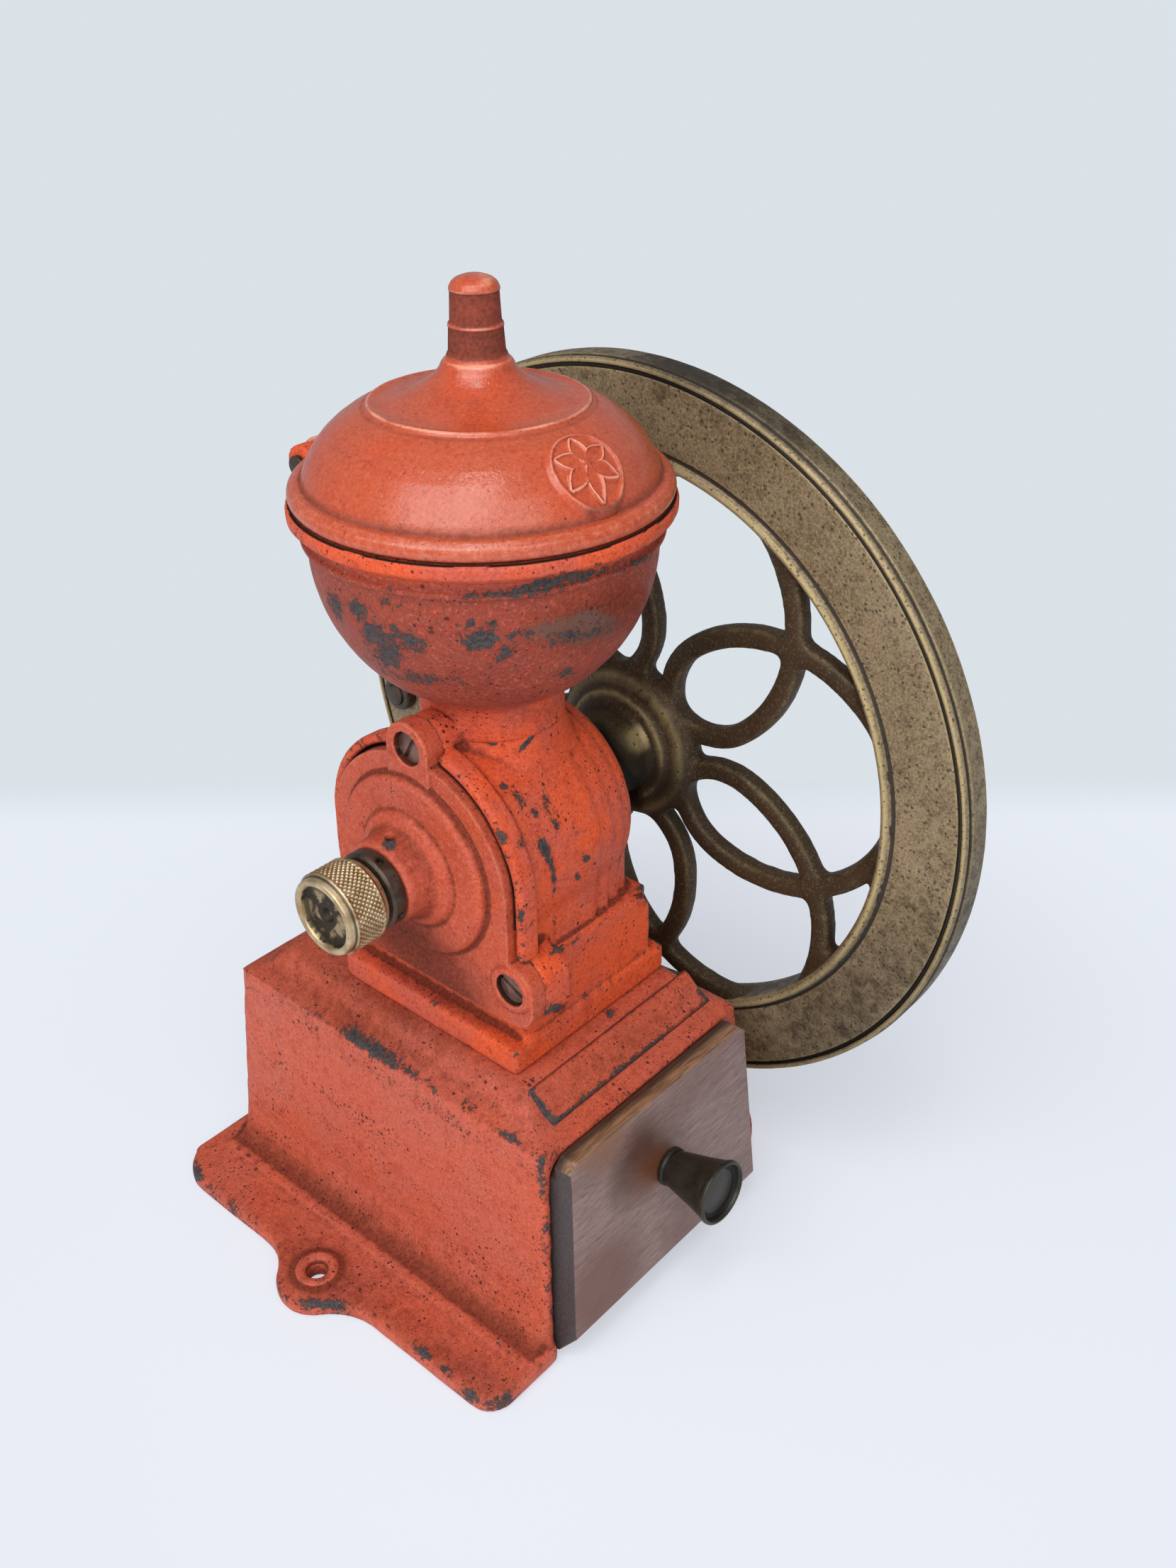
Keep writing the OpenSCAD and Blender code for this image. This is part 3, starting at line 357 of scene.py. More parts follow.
def wood(name, pale, mid_tone, dark, along, worn=(), side=None, top=None, rough=(0.45, 0.6)):
    """Fine grained wood. along gives the stretch of the grain, large across and small along it."""
    k = Looks(name)
    line = k.noise(1.0, 4, 0.6, 0.3, k.stretch(*along))
    pore = k.noise(0.42, 2, 0.5, 0.0, k.stretch(*along))
    broad = k.noise(24, 3, 0.5, 0.6)
    stripe = k.step(line, 0.35, 0.65)
    tone = k.mix(k.step(line, 0.34, 0.66), mid_tone, pale)
    tone = k.tint(tone, broad, 0.4, 0.75, 0.7, mid_tone)
    tone = k.tint(tone, pore, 0.55, 0.72, 0.75, dark)
    for place, far, colour in worn:
        reach = k.add(k.vec("DISTANCE", k.at, place), k.times(k.centred(broad), far * 1.2))
        tone = k.tint(tone, reach, far, far * 0.3, 0.85, colour)
    # Faces that look along -X take the side tone: painted shade.
    if side:
        tone = k.tint(tone, k.facing(0), -0.5, -0.9, 1.0, k.mix(stripe, *side))
    # Upward faces take the top tone as painted light, darkened at the back as painted shadow of the lip.
    if top:
        shaded = k.tint(k.mix(stripe, *top), k.part_of(k.at, 1), *LIP_SHADE, 0.85, LIP_SHADOW)
        tone = k.tint(tone, k.facing(2), 0.3, 0.6, 1.0, shaded)
    tone = k.tint(tone, k.attr("edge"), 0.1, 0.5, 0.5, pale)
    k.set("Base Color", tone)
    k.set("Roughness", k.step(broad, 0.3, 0.7, *rough))
    k.bump(k.weigh((line, 0.6), (pore, -0.5)), 0.14, 0.7)
    return k.mat


# Mesh helpers
WELD_M = 1e-6
FLAT, CREASE, SHARP = math.radians(0.5), math.radians(40), 28.0


def co_of(me):
    """The points of a mesh, in metres."""
    co = np.empty(len(me.vertices) * 3)
    me.vertices.foreach_get("co", co)
    return co.reshape(-1, 3)


def places(me):
    return co_of(me) / MM


def put_co(me, co):
    me.vertices.foreach_set("co", np.ascontiguousarray(co, float).ravel())
    me.update()


def normals_of(me):
    out = np.empty(len(me.vertices) * 3)
    me.vertex_normals.foreach_get("vector", out)
    return out.reshape(-1, 3)


def from_axle(co):
    return np.hypot(co[:, 1] - AXLE_Y, co[:, 2] - AXLE_Z)


def from_ear(co):
    """Distance from the screw hole of the nearer ear."""
    return np.hypot(np.abs(co[:, 0]) - EAR_X, co[:, 1])


def from_mast(co):
    """Distance from the upright line through bowl, lid and finial."""
    return np.hypot(co[:, 0], co[:, 1] - AXLE_Y)


def peak(values, middle, half):
    return np.exp(-((values - middle) / half) ** 2)


def ramp(values, low, high):
    return np.clip((values - low) / (high - low), 0, 1)


def edge_ends(me):
    ends = np.empty(len(me.edges) * 2, int)
    me.edges.foreach_get("vertices", ends)
    return ends[0::2], ends[1::2]


def softened(co, ends, rounds, share=0.5):
    """The points, each drawn towards the middle of its neighbours."""
    a, b = ends
    n = len(co)
    near = np.maximum(np.bincount(a, minlength=n) + np.bincount(b, minlength=n), 1)[:, None]
    for _ in range(rounds):
        total = np.stack([np.bincount(a, co[b, i], n) + np.bincount(b, co[a, i], n) for i in range(3)], 1)
        co = co + share * (total / near - co)
    return co


def note(me, name, values):
    """Writes one amount for each point as an attribute."""
    layer = me.attributes.get(name) or me.attributes.new(name, "FLOAT", "POINT")
    layer.data.foreach_set("value", np.ascontiguousarray(values, np.float32))


def noted(me, name):
    values = np.empty(len(me.vertices), dtype=np.float32)
    me.attributes[name].data.foreach_get("value", values)
    return values


def add_note(me, name, extra):
    note(me, name, noted(me, name) + extra)


def note_edges(me, rounds):
    """Writes how far each point stands proud of its softened neighbourhood, in mm, as the edge attribute, to
    which some parts later add painted highlights.
    """
    co = co_of(me)
    proud = ((co - softened(co, edge_ends(me), rounds)) * normals_of(me)).sum(1) / MM
    note(me, "edge", proud)


def note_spots(me, name, spots, start=0.0):
    """Writes a painted on amount as an attribute. A spot is its place in the photograph in pixels, its half
    length and half width, its turn in degrees and its amount."""
    x, y, toward = photo_px(places(me), normals_of(me))
    total = np.zeros(len(x))
    for at_x, at_y, half_l, half_w, turn, amount in spots:
        c, s = math.cos(math.radians(turn)), math.sin(math.radians(turn))
        u = ((x - at_x) * c + (y - at_y) * s) / half_l
        v = ((y - at_y) * c - (x - at_x) * s) / half_w
        total += amount * np.exp(-0.8 * (u * u + v * v))
    note(me, name, total * toward + start)


def glints(me, spots):
    """Painted highlight amounts at places in the photograph: pixels, half width, half height and amount."""
    x, y, toward = photo_px(places(me), normals_of(me))
    total = np.zeros(len(x))
    for at_x, at_y, wide, tall, amount in spots:
        total += amount * peak(x, at_x, wide) * peak(y, at_y, tall)
    return total * toward


def coat(me, material):
    me.materials.clear()
    me.materials.append(material)


def link(name, me, body, material, nodes=()):
    for p in me.polygons:
        p.use_smooth = True
    coat(me, material)
    ob = bpy.data.objects.new(name, me)
    show(ob)
    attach(ob, body)
    if nodes:
        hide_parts(*nodes)


def welded(me):
    """An editable copy of a mesh, with points that meet made one."""
    bm = bmesh.new()
    bm.from_mesh(me)
    bmesh.ops.remove_doubles(bm, verts=bm.verts, dist=WELD_M)
    return bm


def meshed(bm, name):
    me = bpy.data.meshes.new(name)
    bm.to_mesh(me)
    bm.free()
    return me


def sealed(name, verts, faces):
    """A mesh from points and faces, with the seams closed and the faces turned outward."""
    me = bpy.data.meshes.new(name)
    me.from_pydata(verts, [], faces)
    bm = welded(me)
    bmesh.ops.recalc_face_normals(bm, faces=bm.faces)
    bm.to_mesh(me)
    bm.free()
    return me


def break_edges(bm, bevel, segments, angle, clamp):
    bmesh.ops.dissolve_limit(bm, angle_limit=FLAT, verts=bm.verts, edges=bm.edges)
    sharp = [e for e in bm.edges if len(e.link_faces) == 2 and e.calc_face_angle() > math.radians(angle)]
    bmesh.ops.bevel(bm, geom=sharp, offset=bevel * MM, segments=segments, profile=0.5, affect="EDGES",
                    clamp_overlap=clamp)


def casting(node, voxel, rounds, bevel=0.0):
    """One closed skin round a CAD node, with the edges rounded as on a casting."""
    bm = welded(NODES[node].data)
    if bevel:
        break_edges(bm, bevel, 3, 35.0, False)
    ob = bpy.data.objects.new("skin", meshed(bm, "skin"))
    show(ob)
    m = ob.modifiers.new("skin", "REMESH")
    m.mode = "VOXEL"
    m.voxel_size = voxel * MM
    out = bpy.data.meshes.new_from_object(ob.evaluated_get(bpy.context.evaluated_depsgraph_get()))
    bpy.data.objects.remove(ob)
    put_co(out, softened(co_of(out), edge_ends(out), rounds))
    return out


def uneven(me, size, height):
    """Moves the surface in and out a little, as sand casting does."""
    co, nor = co_of(me), normals_of(me)
    wide, small = size * MM, size * 0.3 * MM
    lift = np.array([noise.noise(Vector(p) / wide) + 0.4 * noise.noise(Vector(p) / small) for p in co])
    put_co(me, co + nor * (lift * height * MM)[:, None])


def weathered(me, size, height, rounds, chips):
    """Makes the skin of a casting uneven and writes its edges and its chips."""
    uneven(me, size, height)
    note_edges(me, rounds)
    note_spots(me, "chip", chips)


def trimmed(me, keep):
    """The mesh without the points for which keep is false."""
    bm = bmesh.new()
    bm.from_mesh(me)
    bm.verts.ensure_lookup_table()
    bmesh.ops.delete(bm, geom=[v for v, k in zip(bm.verts, keep) if not k], context="VERTS")
    bm.to_mesh(me)
    bm.free()
    return me


def joined(*meshes):
    """One mesh from several."""
    bm = bmesh.new()
    for me in meshes:
        bm.from_mesh(me)
    return meshed(bm, "joined")


def crisp(node, bevel, segments=2):
    """A CAD node's own shape with its sharp edges broken."""
    bm = welded(NODES[node].data)
    break_edges(bm, bevel, segments, SHARP, True)
    me = meshed(bm, node)
    me.set_sharp_from_angle(angle=CREASE)
    return me


def arc(cx, cz, r, start, end, parts):
    """Points of an arc in an outline, by angles in degrees from the radius axis."""
    turns = [math.radians(start + (end - start) * i / parts) for i in range(parts + 1)]
    return [(cx + r * math.cos(t), cz + r * math.sin(t)) for t in turns]


def rounded(outline, reach, parts, step):
    """The outline with each corner turned into a short curve and long runs cut into shorter ones."""
    pts = [Vector(p) for p in outline]
    out = [pts[0]]
    for a, b, c in zip(pts, pts[1:], pts[2:]):
        u, v = a - b, c - b
        cut = min(reach, u.length * 0.45, v.length * 0.45)
        p, q = b + u.normalized() * cut, b + v.normalized() * cut
        for i in range(parts + 1):
            t = i / parts
            out.append(p * (1 - t) ** 2 + b * 2 * t * (1 - t) + q * t * t)
    out.append(pts[-1])
    fine = [out[0]]
    for a, b in zip(out, out[1:]):
        n = max(1, math.ceil((b - a).length / step))
        fine += [a + (b - a) * (i / n) for i in range(1, n + 1)]
    return fine


def lathe(outline, segments, axis, origin):
    """A closed turned solid. outline is a list of (radius, height) from one end of the axis to the other."""
    ax = Vector(axis).normalized()
    side = ax.orthogonal().normalized()
    other = ax.cross(side)
    o = Vector(origin)
    verts, faces, rings = [], [], []
    for r, h in outline:
        if r < 1e-6:
            rings.append([len(verts)])
            verts.append((o + ax * h) * MM)
            continue
        ring = []
        for i in range(segments):
            t = 2 * math.pi * i / segments
            ring.append(len(verts))
            verts.append((o + ax * h + (side * math.cos(t) + other * math.sin(t)) * r) * MM)
        rings.append(ring)
    for low, high in zip(rings, rings[1:]):
        for i in range(segments):
            j = (i + 1) % segments
            if len(low) == 1 and len(high) > 1:
                faces.append((low[0], high[i], high[j]))
            elif len(high) == 1 and len(low) > 1:
                faces.append((low[i], high[0], low[j]))
            elif len(low) > 1:
                faces.append((low[i], high[i], high[j], low[j]))
    return sealed("lathe", verts, faces)


make_camera()

# Materials, with their colours in display levels
RED_BASE = red_paint("worn_red_base", (197, 88, 61), (193, 92, 71), edges=1.15, specks=0.5, dust_and_top_shade=0.3,
                     shine=0.24, crease_shade=0.45)
RED_BODY = red_paint("worn_red_body", (220, 84, 38), (194, 86, 66), edges=1.0, specks=0.54, dust_and_top_shade=0.1,
                     shine=0.2, crease_shade=1.1)
RED_COVER = red_paint("worn_red_cover", (190, 78, 46), (184, 82, 60), edges=0.4, specks=0.64, dust_and_top_shade=0.2,
                      shine=0.26, pale=0.15)
RED_LID = red_paint("worn_red_lid", (190, 76, 42), (184, 82, 52), edges=0.0, specks=0.72, dust_and_top_shade=0.0,
                    shine=0.55, pale=0.7, rough=(0.13, 0.25), bloom=0.25, relief=0.13)
RIM_IRON = wheel_iron("worn_rim_iron", (128, 112, 82), (150, 132, 102), (92, 72, 48),
                      polish_and_highlight=(0.04, 0.16), flecks=0.45, bloom=0.55, shine=0.5)
ARM_IRON = wheel_iron("worn_arm_iron", (54, 42, 29), (70, 55, 38), (64, 48, 32),
                      polish_and_highlight=(0.1, 0.42), flecks=0.1, bloom=0.16, shine=0.22)
STEEL = metal("aged_steel", (120, 112, 102), (160, 152, 142), (58, 46, 38))
SCREW = metal("painted_screw", (94, 64, 53), (134, 102, 90), (34, 22, 18), metallic=0.4, grime_and_shade=0.7)
DARK = metal("blackened_steel", (62, 50, 42), (88, 74, 62), (26, 20, 17), metallic=0.6)
BRASS = metal("worn_brass", (160, 134, 96), (206, 186, 150), (58, 50, 38), metallic=0.75)
BRONZE = metal("dark_bronze", (44, 39, 32), (58, 53, 44), (22, 19, 16), rough=(0.3, 0.46),
               metallic=0.45, rub=(170, 166, 148))
BOARD_GRAIN = (0.12, 1.0, 1.0, (0, math.radians(38), 0))
INNER_GRAIN, GRIP_GRAIN = (1.0, 0.05, 1.0), (0.06, 1.0, 1.0)
BOARD_WORN = [((-36, -86, 24), 26, (104, 66, 54)), ((-30, -83, 80), 17, (128, 88, 66)),
              ((-13, -85, 63), 20, (78, 42, 22)), ((-7, -85, 54), 13, (108, 58, 28))]
# side is a painted shade tone for the board's -X face, top a painted light tone for its upward faces.
BOARD = wood("drawer_wood", (146, 118, 111), (120, 93, 86), (88, 58, 49), BOARD_GRAIN, BOARD_WORN,
             side=((58, 50, 50), (70, 62, 61)), top=((146, 108, 78), (102, 74, 54)))
INNER = wood("drawer_inner_wood", (172, 140, 104), (150, 116, 82), (104, 76, 50), INNER_GRAIN)
GRIP = wood("turned_grip_wood", (120, 76, 46), (96, 58, 34), (56, 32, 20), GRIP_GRAIN, rough=(0.28, 0.42))

# Base: the shoulder is hollowed to an ogee before the paint is worn
PLATE_HALF_X, PLATE_HALF_Y, SHOULDER_RISE = 40.0, 57.0, PLATE_Z - BOX_TOP
HOLLOW_SHARE, HOLLOW_DEEP, HOLLOW_FROM, ROLL_HIGH = 0.7, 1.7, 4.0, 0.5
WALL_FOOT, COVE_OUT, LEDGE_OUT = 54.9, 7.3, 9.3
RING_SHADE_R = 8.4
BASE_CHIPS = [
    (522, 1472, 56, 13, 33, 1.3), (600, 1520, 40, 6, 33, 0.6), (663, 1559, 18, 8, 33, 0.9),
    (699, 1562, 9, 6, 0, 0.9), (723, 1605, 20, 6, 33, 0.9), (763, 1640, 6, 18, 0, 0.7),
    (420, 1425, 50, 5, 30, 0.4), (860, 1429, 6, 6, 0, 2.0), (599, 1907, 14, 8, 30, 0.9),
    (628, 1933, 10, 6, 30, 0.9), (662, 1967, 16, 9, 30, 1.0), (715, 1977, 28, 9, -10, 1.0),
    (463, 1841, 40, 9, 10, 0.9), (440, 1752, 12, 4, 20, 0.6), (279, 1652, 10, 10, 0, 0.8),
    (600, 1560, 200, 8, 33, 0.5), (330, 1720, 60, 12, 40, 0.8), (790, 1420, 14, 6, -20, 0.8)]
BASE_DIRT = [
    (560, 1440, 190, 30, 33, 0.4), (440, 1790, 90, 40, 33, 0.34), (640, 1920, 120, 24, 33, 0.3),
    (450, 1420, 160, 40, 33, 0.2)]


def hollowed_shoulder(me):
    co, nor = places(me), normals_of(me)
    t = ramp(co[:, 2], BOX_TOP, PLATE_Z)
    slope = ramp(nor[:, 2], 0.3, 0.55) * ramp(nor[:, 2], 0.98, 0.92)
    past = np.maximum(np.abs(co[:, 0]) - PLATE_HALF_X, 0) + np.maximum(np.abs(co[:, 1]) - PLATE_HALF_Y, 0)
    outside = past > SHOULDER_RISE * (1 - t) - HOLLOW_FROM
    low, high = ramp(t, 0, HOLLOW_SHARE), ramp(t, HOLLOW_SHARE, 1)
    lift = ROLL_HIGH * np.sin(np.pi * high) - HOLLOW_DEEP * np.sin(np.pi * low) ** 1.2
    put_co(me, (co + nor * (lift * slope * outside * (t > 0.02))[:, None]) * MM)


base = casting("base_box", voxel=1.0, rounds=4, bevel=1.4)
hollowed_shoulder(base)
put_co(base, softened(co_of(base), edge_ends(base), 1))
weathered(base, 14, 0.13, 7, BASE_CHIPS)
co = places(base)
from_wall, above = np.abs(co[:, 0]) - WALL_FOOT, co[:, 2] - EAR_Z
in_cove = ramp(from_wall, COVE_OUT + 0.3, COVE_OUT - 0.9) * (from_wall > -4) * (above > 0.2)
# Painted shade: a dark ring round the foot of each ear ring, the cove at the foot of the walls and a line
# along it.
soil_and_shade_amount = 0.9 * peak(from_ear(co), RING_SHADE_R, 1.1) * (above <= 2)
soil_and_shade_amount += 0.56 * np.exp(-np.maximum(above - 1, 0) / 12) * in_cove
soil_and_shade_amount += 0.5 * peak(from_wall, COVE_OUT, 0.8) * (above > 0.2)
note_spots(base, "dirt_and_shade", BASE_DIRT, soil_and_shade_amount)
add_note(base, "edge", 0.12 * peak(from_wall, LEDGE_OUT, 0.7) * (above > 0.3) * (above < 2))
link("base_casting", base, "stand", RED_BASE, ["base_box"])

EAR_RING = [
    (3.5, -2), (3.5, 0.2), (4.2, 1.2), (5, 1.6), (6.3, 1.7), (7.2, 1.2), (7.8, -0.1), (7.8, -2),
    (3.5, -2)]
RING_CHIPS = [(447, 1800, 22, 12, 0, 0.9)]
ring_line = rounded(EAR_RING, 0.3, 3, 0.8)
rings = joined(*[lathe(ring_line, 72, UPWARD, (side * EAR_X, 0, EAR_Z)) for side in (-1, 1)])
weathered(rings, 5, 0.1, 4, RING_CHIPS)
far = from_ear(places(rings))
# Dark at the ring's outer foot and in its hole: painted shade.
note(rings, "dirt_and_shade", 0.9 * (far > 7.3) + 1.2 * (far < 3.8))
link("ear_rings", rings, "stand", RED_BASE)

# Blank raised panel on the front shoulder
PANEL_X0, PANEL_X1 = -37.0, 43.0
PANEL_LOW, PANEL_HIGH, PANEL_T = 4.6, 19.0, 2.0
PANEL_NX, PANEL_NY = 134, 26
PANEL_EDGE, PANEL_SKIRT, PANEL_SINK = 1.3, 1.6, 3.3
PANEL_BEND, BEND_RUN = 1.5, 16.3
SHOULDER_FOOT, SHOULDER_TOP = Vector((0, -73.0, BOX_TOP)), Vector((0, -53.0, PLATE_Z))
PANEL_CHIPS = [
    (752, 1558, 46, 11, 52, 1.7), (800, 1570, 40, 6, -35, 0.9), (900, 1490, 90, 8, -34, 0.8),
    (860, 1445, 90, 6, -34, 0.6), (1000, 1395, 30, 14, -34, 0.9)]
PANEL_DIRT = [(880, 1480, 120, 30, -34, 0.2)]


def blank_panel():
    """A grid that follows the hollow of the shoulder, with its edges turned down into it."""
    along = (SHOULDER_TOP - SHOULDER_FOOT).normalized()
    out = Vector((1, 0, 0)).cross(along)
    step_x, step_d = (PANEL_X1 - PANEL_X0) / PANEL_NX, (PANEL_HIGH - PANEL_LOW) / PANEL_NY
    verts, faces = [], []
    for j in range(PANEL_NY + 1):
        for i in range(PANEL_NX + 1):
            x, d = PANEL_X0 + step_x * i, PANEL_LOW + step_d * j
            rim = min(min(i, PANEL_NX - i, 3) * step_x, min(j, PANEL_NY - j, 3) * step_d)
            rise = min(1.0, rim / PANEL_EDGE) ** 0.5
            inset = PANEL_BEND - PANEL_BEND * math.sin(math.pi * min(1.0, d / BEND_RUN)) ** 1.2
            lift = rise * (PANEL_T + PANEL_SKIRT) - PANEL_SINK + inset
            verts.append((SHOULDER_FOOT + Vector((x, 0, 0)) + along * d + out * lift) * MM)
    row = PANEL_NX + 1
    for j in range(PANEL_NY):
        for i in range(PANEL_NX):
            a = j * row + i
            faces.append((a, a + 1, a + row + 1, a + row))
    me = bpy.data.meshes.new("panel")
    me.from_pydata(verts, [], faces)
    return me


panel = blank_panel()
weathered(panel, 6, 0.12, 4, PANEL_CHIPS)
j, i = np.divmod(np.arange(len(panel.vertices)), PANEL_NX + 1)
border = np.minimum(np.minimum(i, PANEL_NX - i), np.minimum(j, PANEL_NY - j))
# Dark border where the panel's edges turn down into the shoulder: painted shade.
note_spots(panel, "dirt_and_shade", PANEL_DIRT, 1.2 * (border < 2) + 0.4 * (border == 2))
link("shoulder_panel", panel, "stand", RED_BASE)

# Mill body
BODY_CHIPS = [
    (718, 1006, 10, 5, -10, 1.5), (743, 1048, 15, 3, -42, 1.7), (696, 1048, 5, 4, 0, 1.4),
    (754, 1146, 5, 8, -20, 1.3), (785, 1108, 4, 4, 0, 1.1), (816, 1240, 3, 3, 0, 1.1),
    (830, 1211, 3, 3, 0, 0.9), (782, 1300, 3, 44, 0, 0.8), (708, 1180, 4, 12, -25, 0.3),
    (705, 1110, 6, 5, 0, 0.6), (800, 1070, 12, 4, -50, 0.7), (712, 1109, 9, 9, 0, 0.9),
    (734, 1128, 8, 15, -20, 1.2), (770, 1131, 7, 18, -10, 1.3), (784, 1165, 5, 11, -20, 1.2),
    (764, 1191, 6, 11, -20, 1.2), (775, 1212, 7, 20, -10, 1.3), (781, 1238, 4, 18, 0, 0.9),
    (827, 1211, 5, 5, 0, 1.0), (815, 1235, 4, 4, 0, 1.0), (694, 1048, 6, 4, 0, 1.0),
    (712, 1054, 5, 4, 0, 1.0), (745, 1046, 18, 3, -50, 1.3), (720, 1007, 13, 5, -10, 1.1),
    (788, 1338, 26, 6, -25, 1.0), (745, 1362, 14, 4, -30, 0.8), (788, 1421, 18, 8, -10, 1.2),
    (826, 1403, 14, 5, -25, 1.0), (850, 1385, 14, 4, -30, 0.8), (735, 1290, 4, 8, 0, 0.9),
    (750, 1300, 3, 6, 0, 0.9), (735, 1190, 5, 6, 0, 0.9), (905, 1270, 12, 8, -20, 0.7)]
BODY_DIRT = [(700, 1000, 120, 22, 0, 0.35), (640, 1420, 130, 10, 33, 0.5), (900, 1225, 10, 60, 0, 0.25)]
BAND_X1, BAND_TOP, BAND_HALF, BAND_ROUND = 31.5, 128.0, 35.8, 11.0
COVER_R, COVER_BACK = 37.0, -29.0


def rounded_band(me):
    """Rounds the wheel side end of the foot band, on its two outer faces."""
    co = places(me)
    dx, dz = co[:, 0] - (BAND_X1 - BAND_ROUND), co[:, 2] - (BAND_TOP - BAND_ROUND)
    far = np.hypot(dx, dz)
    on_face = (co[:, 2] < BAND_TOP + 0.3) & (np.abs(co[:, 1] - AXLE_Y) > BAND_HALF)
    hit = (dx > 0) & (dz > 0) & (far > BAND_ROUND) & on_face
    pull = np.where(hit, BAND_ROUND / np.maximum(far, 1e-6), 1.0)
    co[:, 0] += dx * (pull - 1)
    co[:, 2] += dz * (pull - 1)
    put_co(me, co * MM)


def cover_gap_shade(co):
    """Painted shade in the narrow gap between the cover and the ring round it, black at the bottom."""
    y, z = co[:, 1] - AXLE_Y, co[:, 2] - AXLE_Z
    off = np.where(z > 0, np.hypot(y, z), np.abs(y)) - COVER_R
    near = (off > -0.5) & (off < 1.7) & (co[:, 0] < COVER_BACK + 0.6) & (z > -40)
    return near * np.maximum(ramp(co[:, 0], COVER_BACK - 3.4, COVER_BACK - 2.4), 0.15)


body = casting("mill_body", voxel=0.8, rounds=4, bevel=1.0)
rounded_band(body)
weathered(body, 12, 0.17, 8, BODY_CHIPS)
note_spots(body, "dirt_and_shade", BODY_DIRT, 2.0 * cover_gap_shade(places(body)))
link("body_casting", body, "stand", RED_BODY, ["mill_body"])

# Hopper: a turned bowl with the cast ears of the hinge
BOWL_Z, BOWL_R, BOWL_IN, BEAN_R = RIM_Z - 13.3, 50.0, 46.2, 15.0
NECK_R, NECK_LOW, NECK_PAINT = 22.0, 194.0, 0.04
BOWL_FOOT = 208.0
HINGE_OUT, EAR_HALF_GAP, EAR_ROOT = 47.0, 5.0, 49.6
LIP_IN, LIP_OUT = 52.6, 54.3
BOWL_RIM = [
    (50.3, 252.2), (51.8, 252.7), (52, 254), (50.8, 254.8), (51.2, 257.2), (53.8, 258.6), (55, 259.7),
    (55, 262.3), (54.2, RIM_Z)]
BOWL_CHIPS = [
    (802, 816, 70, 9, -13, 1.5), (700, 838, 70, 6, -4, 0.8), (905, 790, 18, 8, -30, 0.8),
    (505, 858, 12, 16, -25, 1.25), (524, 893, 14, 22, -30, 1.25), (548, 926, 18, 18, -35, 1.3),
    (580, 905, 26, 12, 20, 1.1), (678, 903, 22, 14, -10, 1.8), (715, 920, 14, 8, -45, 1.3),
    (735, 893, 24, 8, 0, 1.1), (815, 895, 60, 14, -10, 1.0), (612, 958, 50, 10, 5, 0.9),
    (474, 852, 8, 26, -20, 1.2), (800, 950, 24, 7, -10, 0.9), (664, 878, 6, 5, 0, 1.3),
    (696, 878, 6, 5, 0, 1.3), (545, 850, 26, 16, 0, 0.7), (600, 890, 70, 30, 0, 0.35),
    (700, 940, 90, 16, 0, 0.3)]
BOWL_DIRT = [(818, 880, 70, 32, -12, 1.0), (880, 840, 40, 30, -20, 0.5)]
BOWL_SMEAR = [(826, 884, 52, 24, -8, 1.0), (760, 893, 30, 12, 0, 0.5), (530, 905, 30, 50, -30, 0.45)]
neck = NECK_R + NECK_PAINT
outer = [(neck, NECK_LOW), (neck, 202), (22.6, 204.3), (24, 206), (26.6, 207.7)]
outer += arc(0, BOWL_Z, BOWL_R, -56.4, 0, 40) + BOWL_RIM
inner = [(BOWL_IN, RIM_Z)] + arc(0, BOWL_Z, BOWL_IN, 0, -71, 40) + [(BEAN_R, NECK_LOW), (neck, NECK_LOW)]
bowl = lathe(rounded(outer + inner, 0.45, 3, 1.3), 240, UPWARD, (0, AXLE_Y, 0))
ears = casting("hopper", voxel=0.7, rounds=3)
co = places(ears)
on_ear = (co[:, 1] - AXLE_Y > HINGE_OUT) & (np.abs(co[:, 0]) > EAR_HALF_GAP)
ears = trimmed(ears, on_ear & (from_mast(co) > EAR_ROOT))
hopper = joined(bowl, ears)
weathered(hopper, 12, 0.17, 6, BOWL_CHIPS)
co = places(hopper)
far, z = from_mast(co), co[:, 2]
add_note(hopper, "edge", -noted(hopper, "edge") * (z < NECK_LOW + 6))
inside = (np.hypot(far, BOWL_Z - z) < (BOWL_R + BOWL_IN) / 2) & (z < RIM_Z - 1) & (z > BOWL_FOOT)
add_note(hopper, "chip", -noted(hopper, "chip") * inside)
# Black on the rim under the lid's lip: painted shade in the gap.
lid_gap_shade = (z > RIM_Z - 0.5) & (far > LIP_IN) & (far < LIP_OUT)
note_spots(hopper, "dirt_and_shade", BODY_DIRT + BOWL_DIRT, 2.0 * lid_gap_shade)
note_spots(hopper, "smear", BOWL_SMEAR)
note(hopper, "faded", ramp(far, NECK_R + 2, NECK_R + 10) * ramp(z, RIM_Z - 5, RIM_Z - 8))
link("hopper_casting", hopper, "stand", RED_BODY, ["hopper"])

# Front cover
COVER_FACE, DISC_R, STEP_R, BOSS_R = -35.0, 30.5, 19.6, 15.0
SCREW_SEAT_R = 5.75
COVER_CHIPS = [(549, 1191, 9, 7, -10, 2.2), (700, 1330, 5, 10, 0, 0.6), (655, 1420, 20, 4, 30, 0.5)]
COVER_DARK_PATCHES = [(600, 1352, 90, 36, 30, 0.9), (560, 1310, 50, 25, 20, 0.5), (640, 1400, 60, 16, 30, 0.6)]
cover = casting("front_cover", voxel=0.5, rounds=3)
weathered(cover, 9, 0.05, 9, COVER_CHIPS)
co = places(cover)
far = from_axle(co)
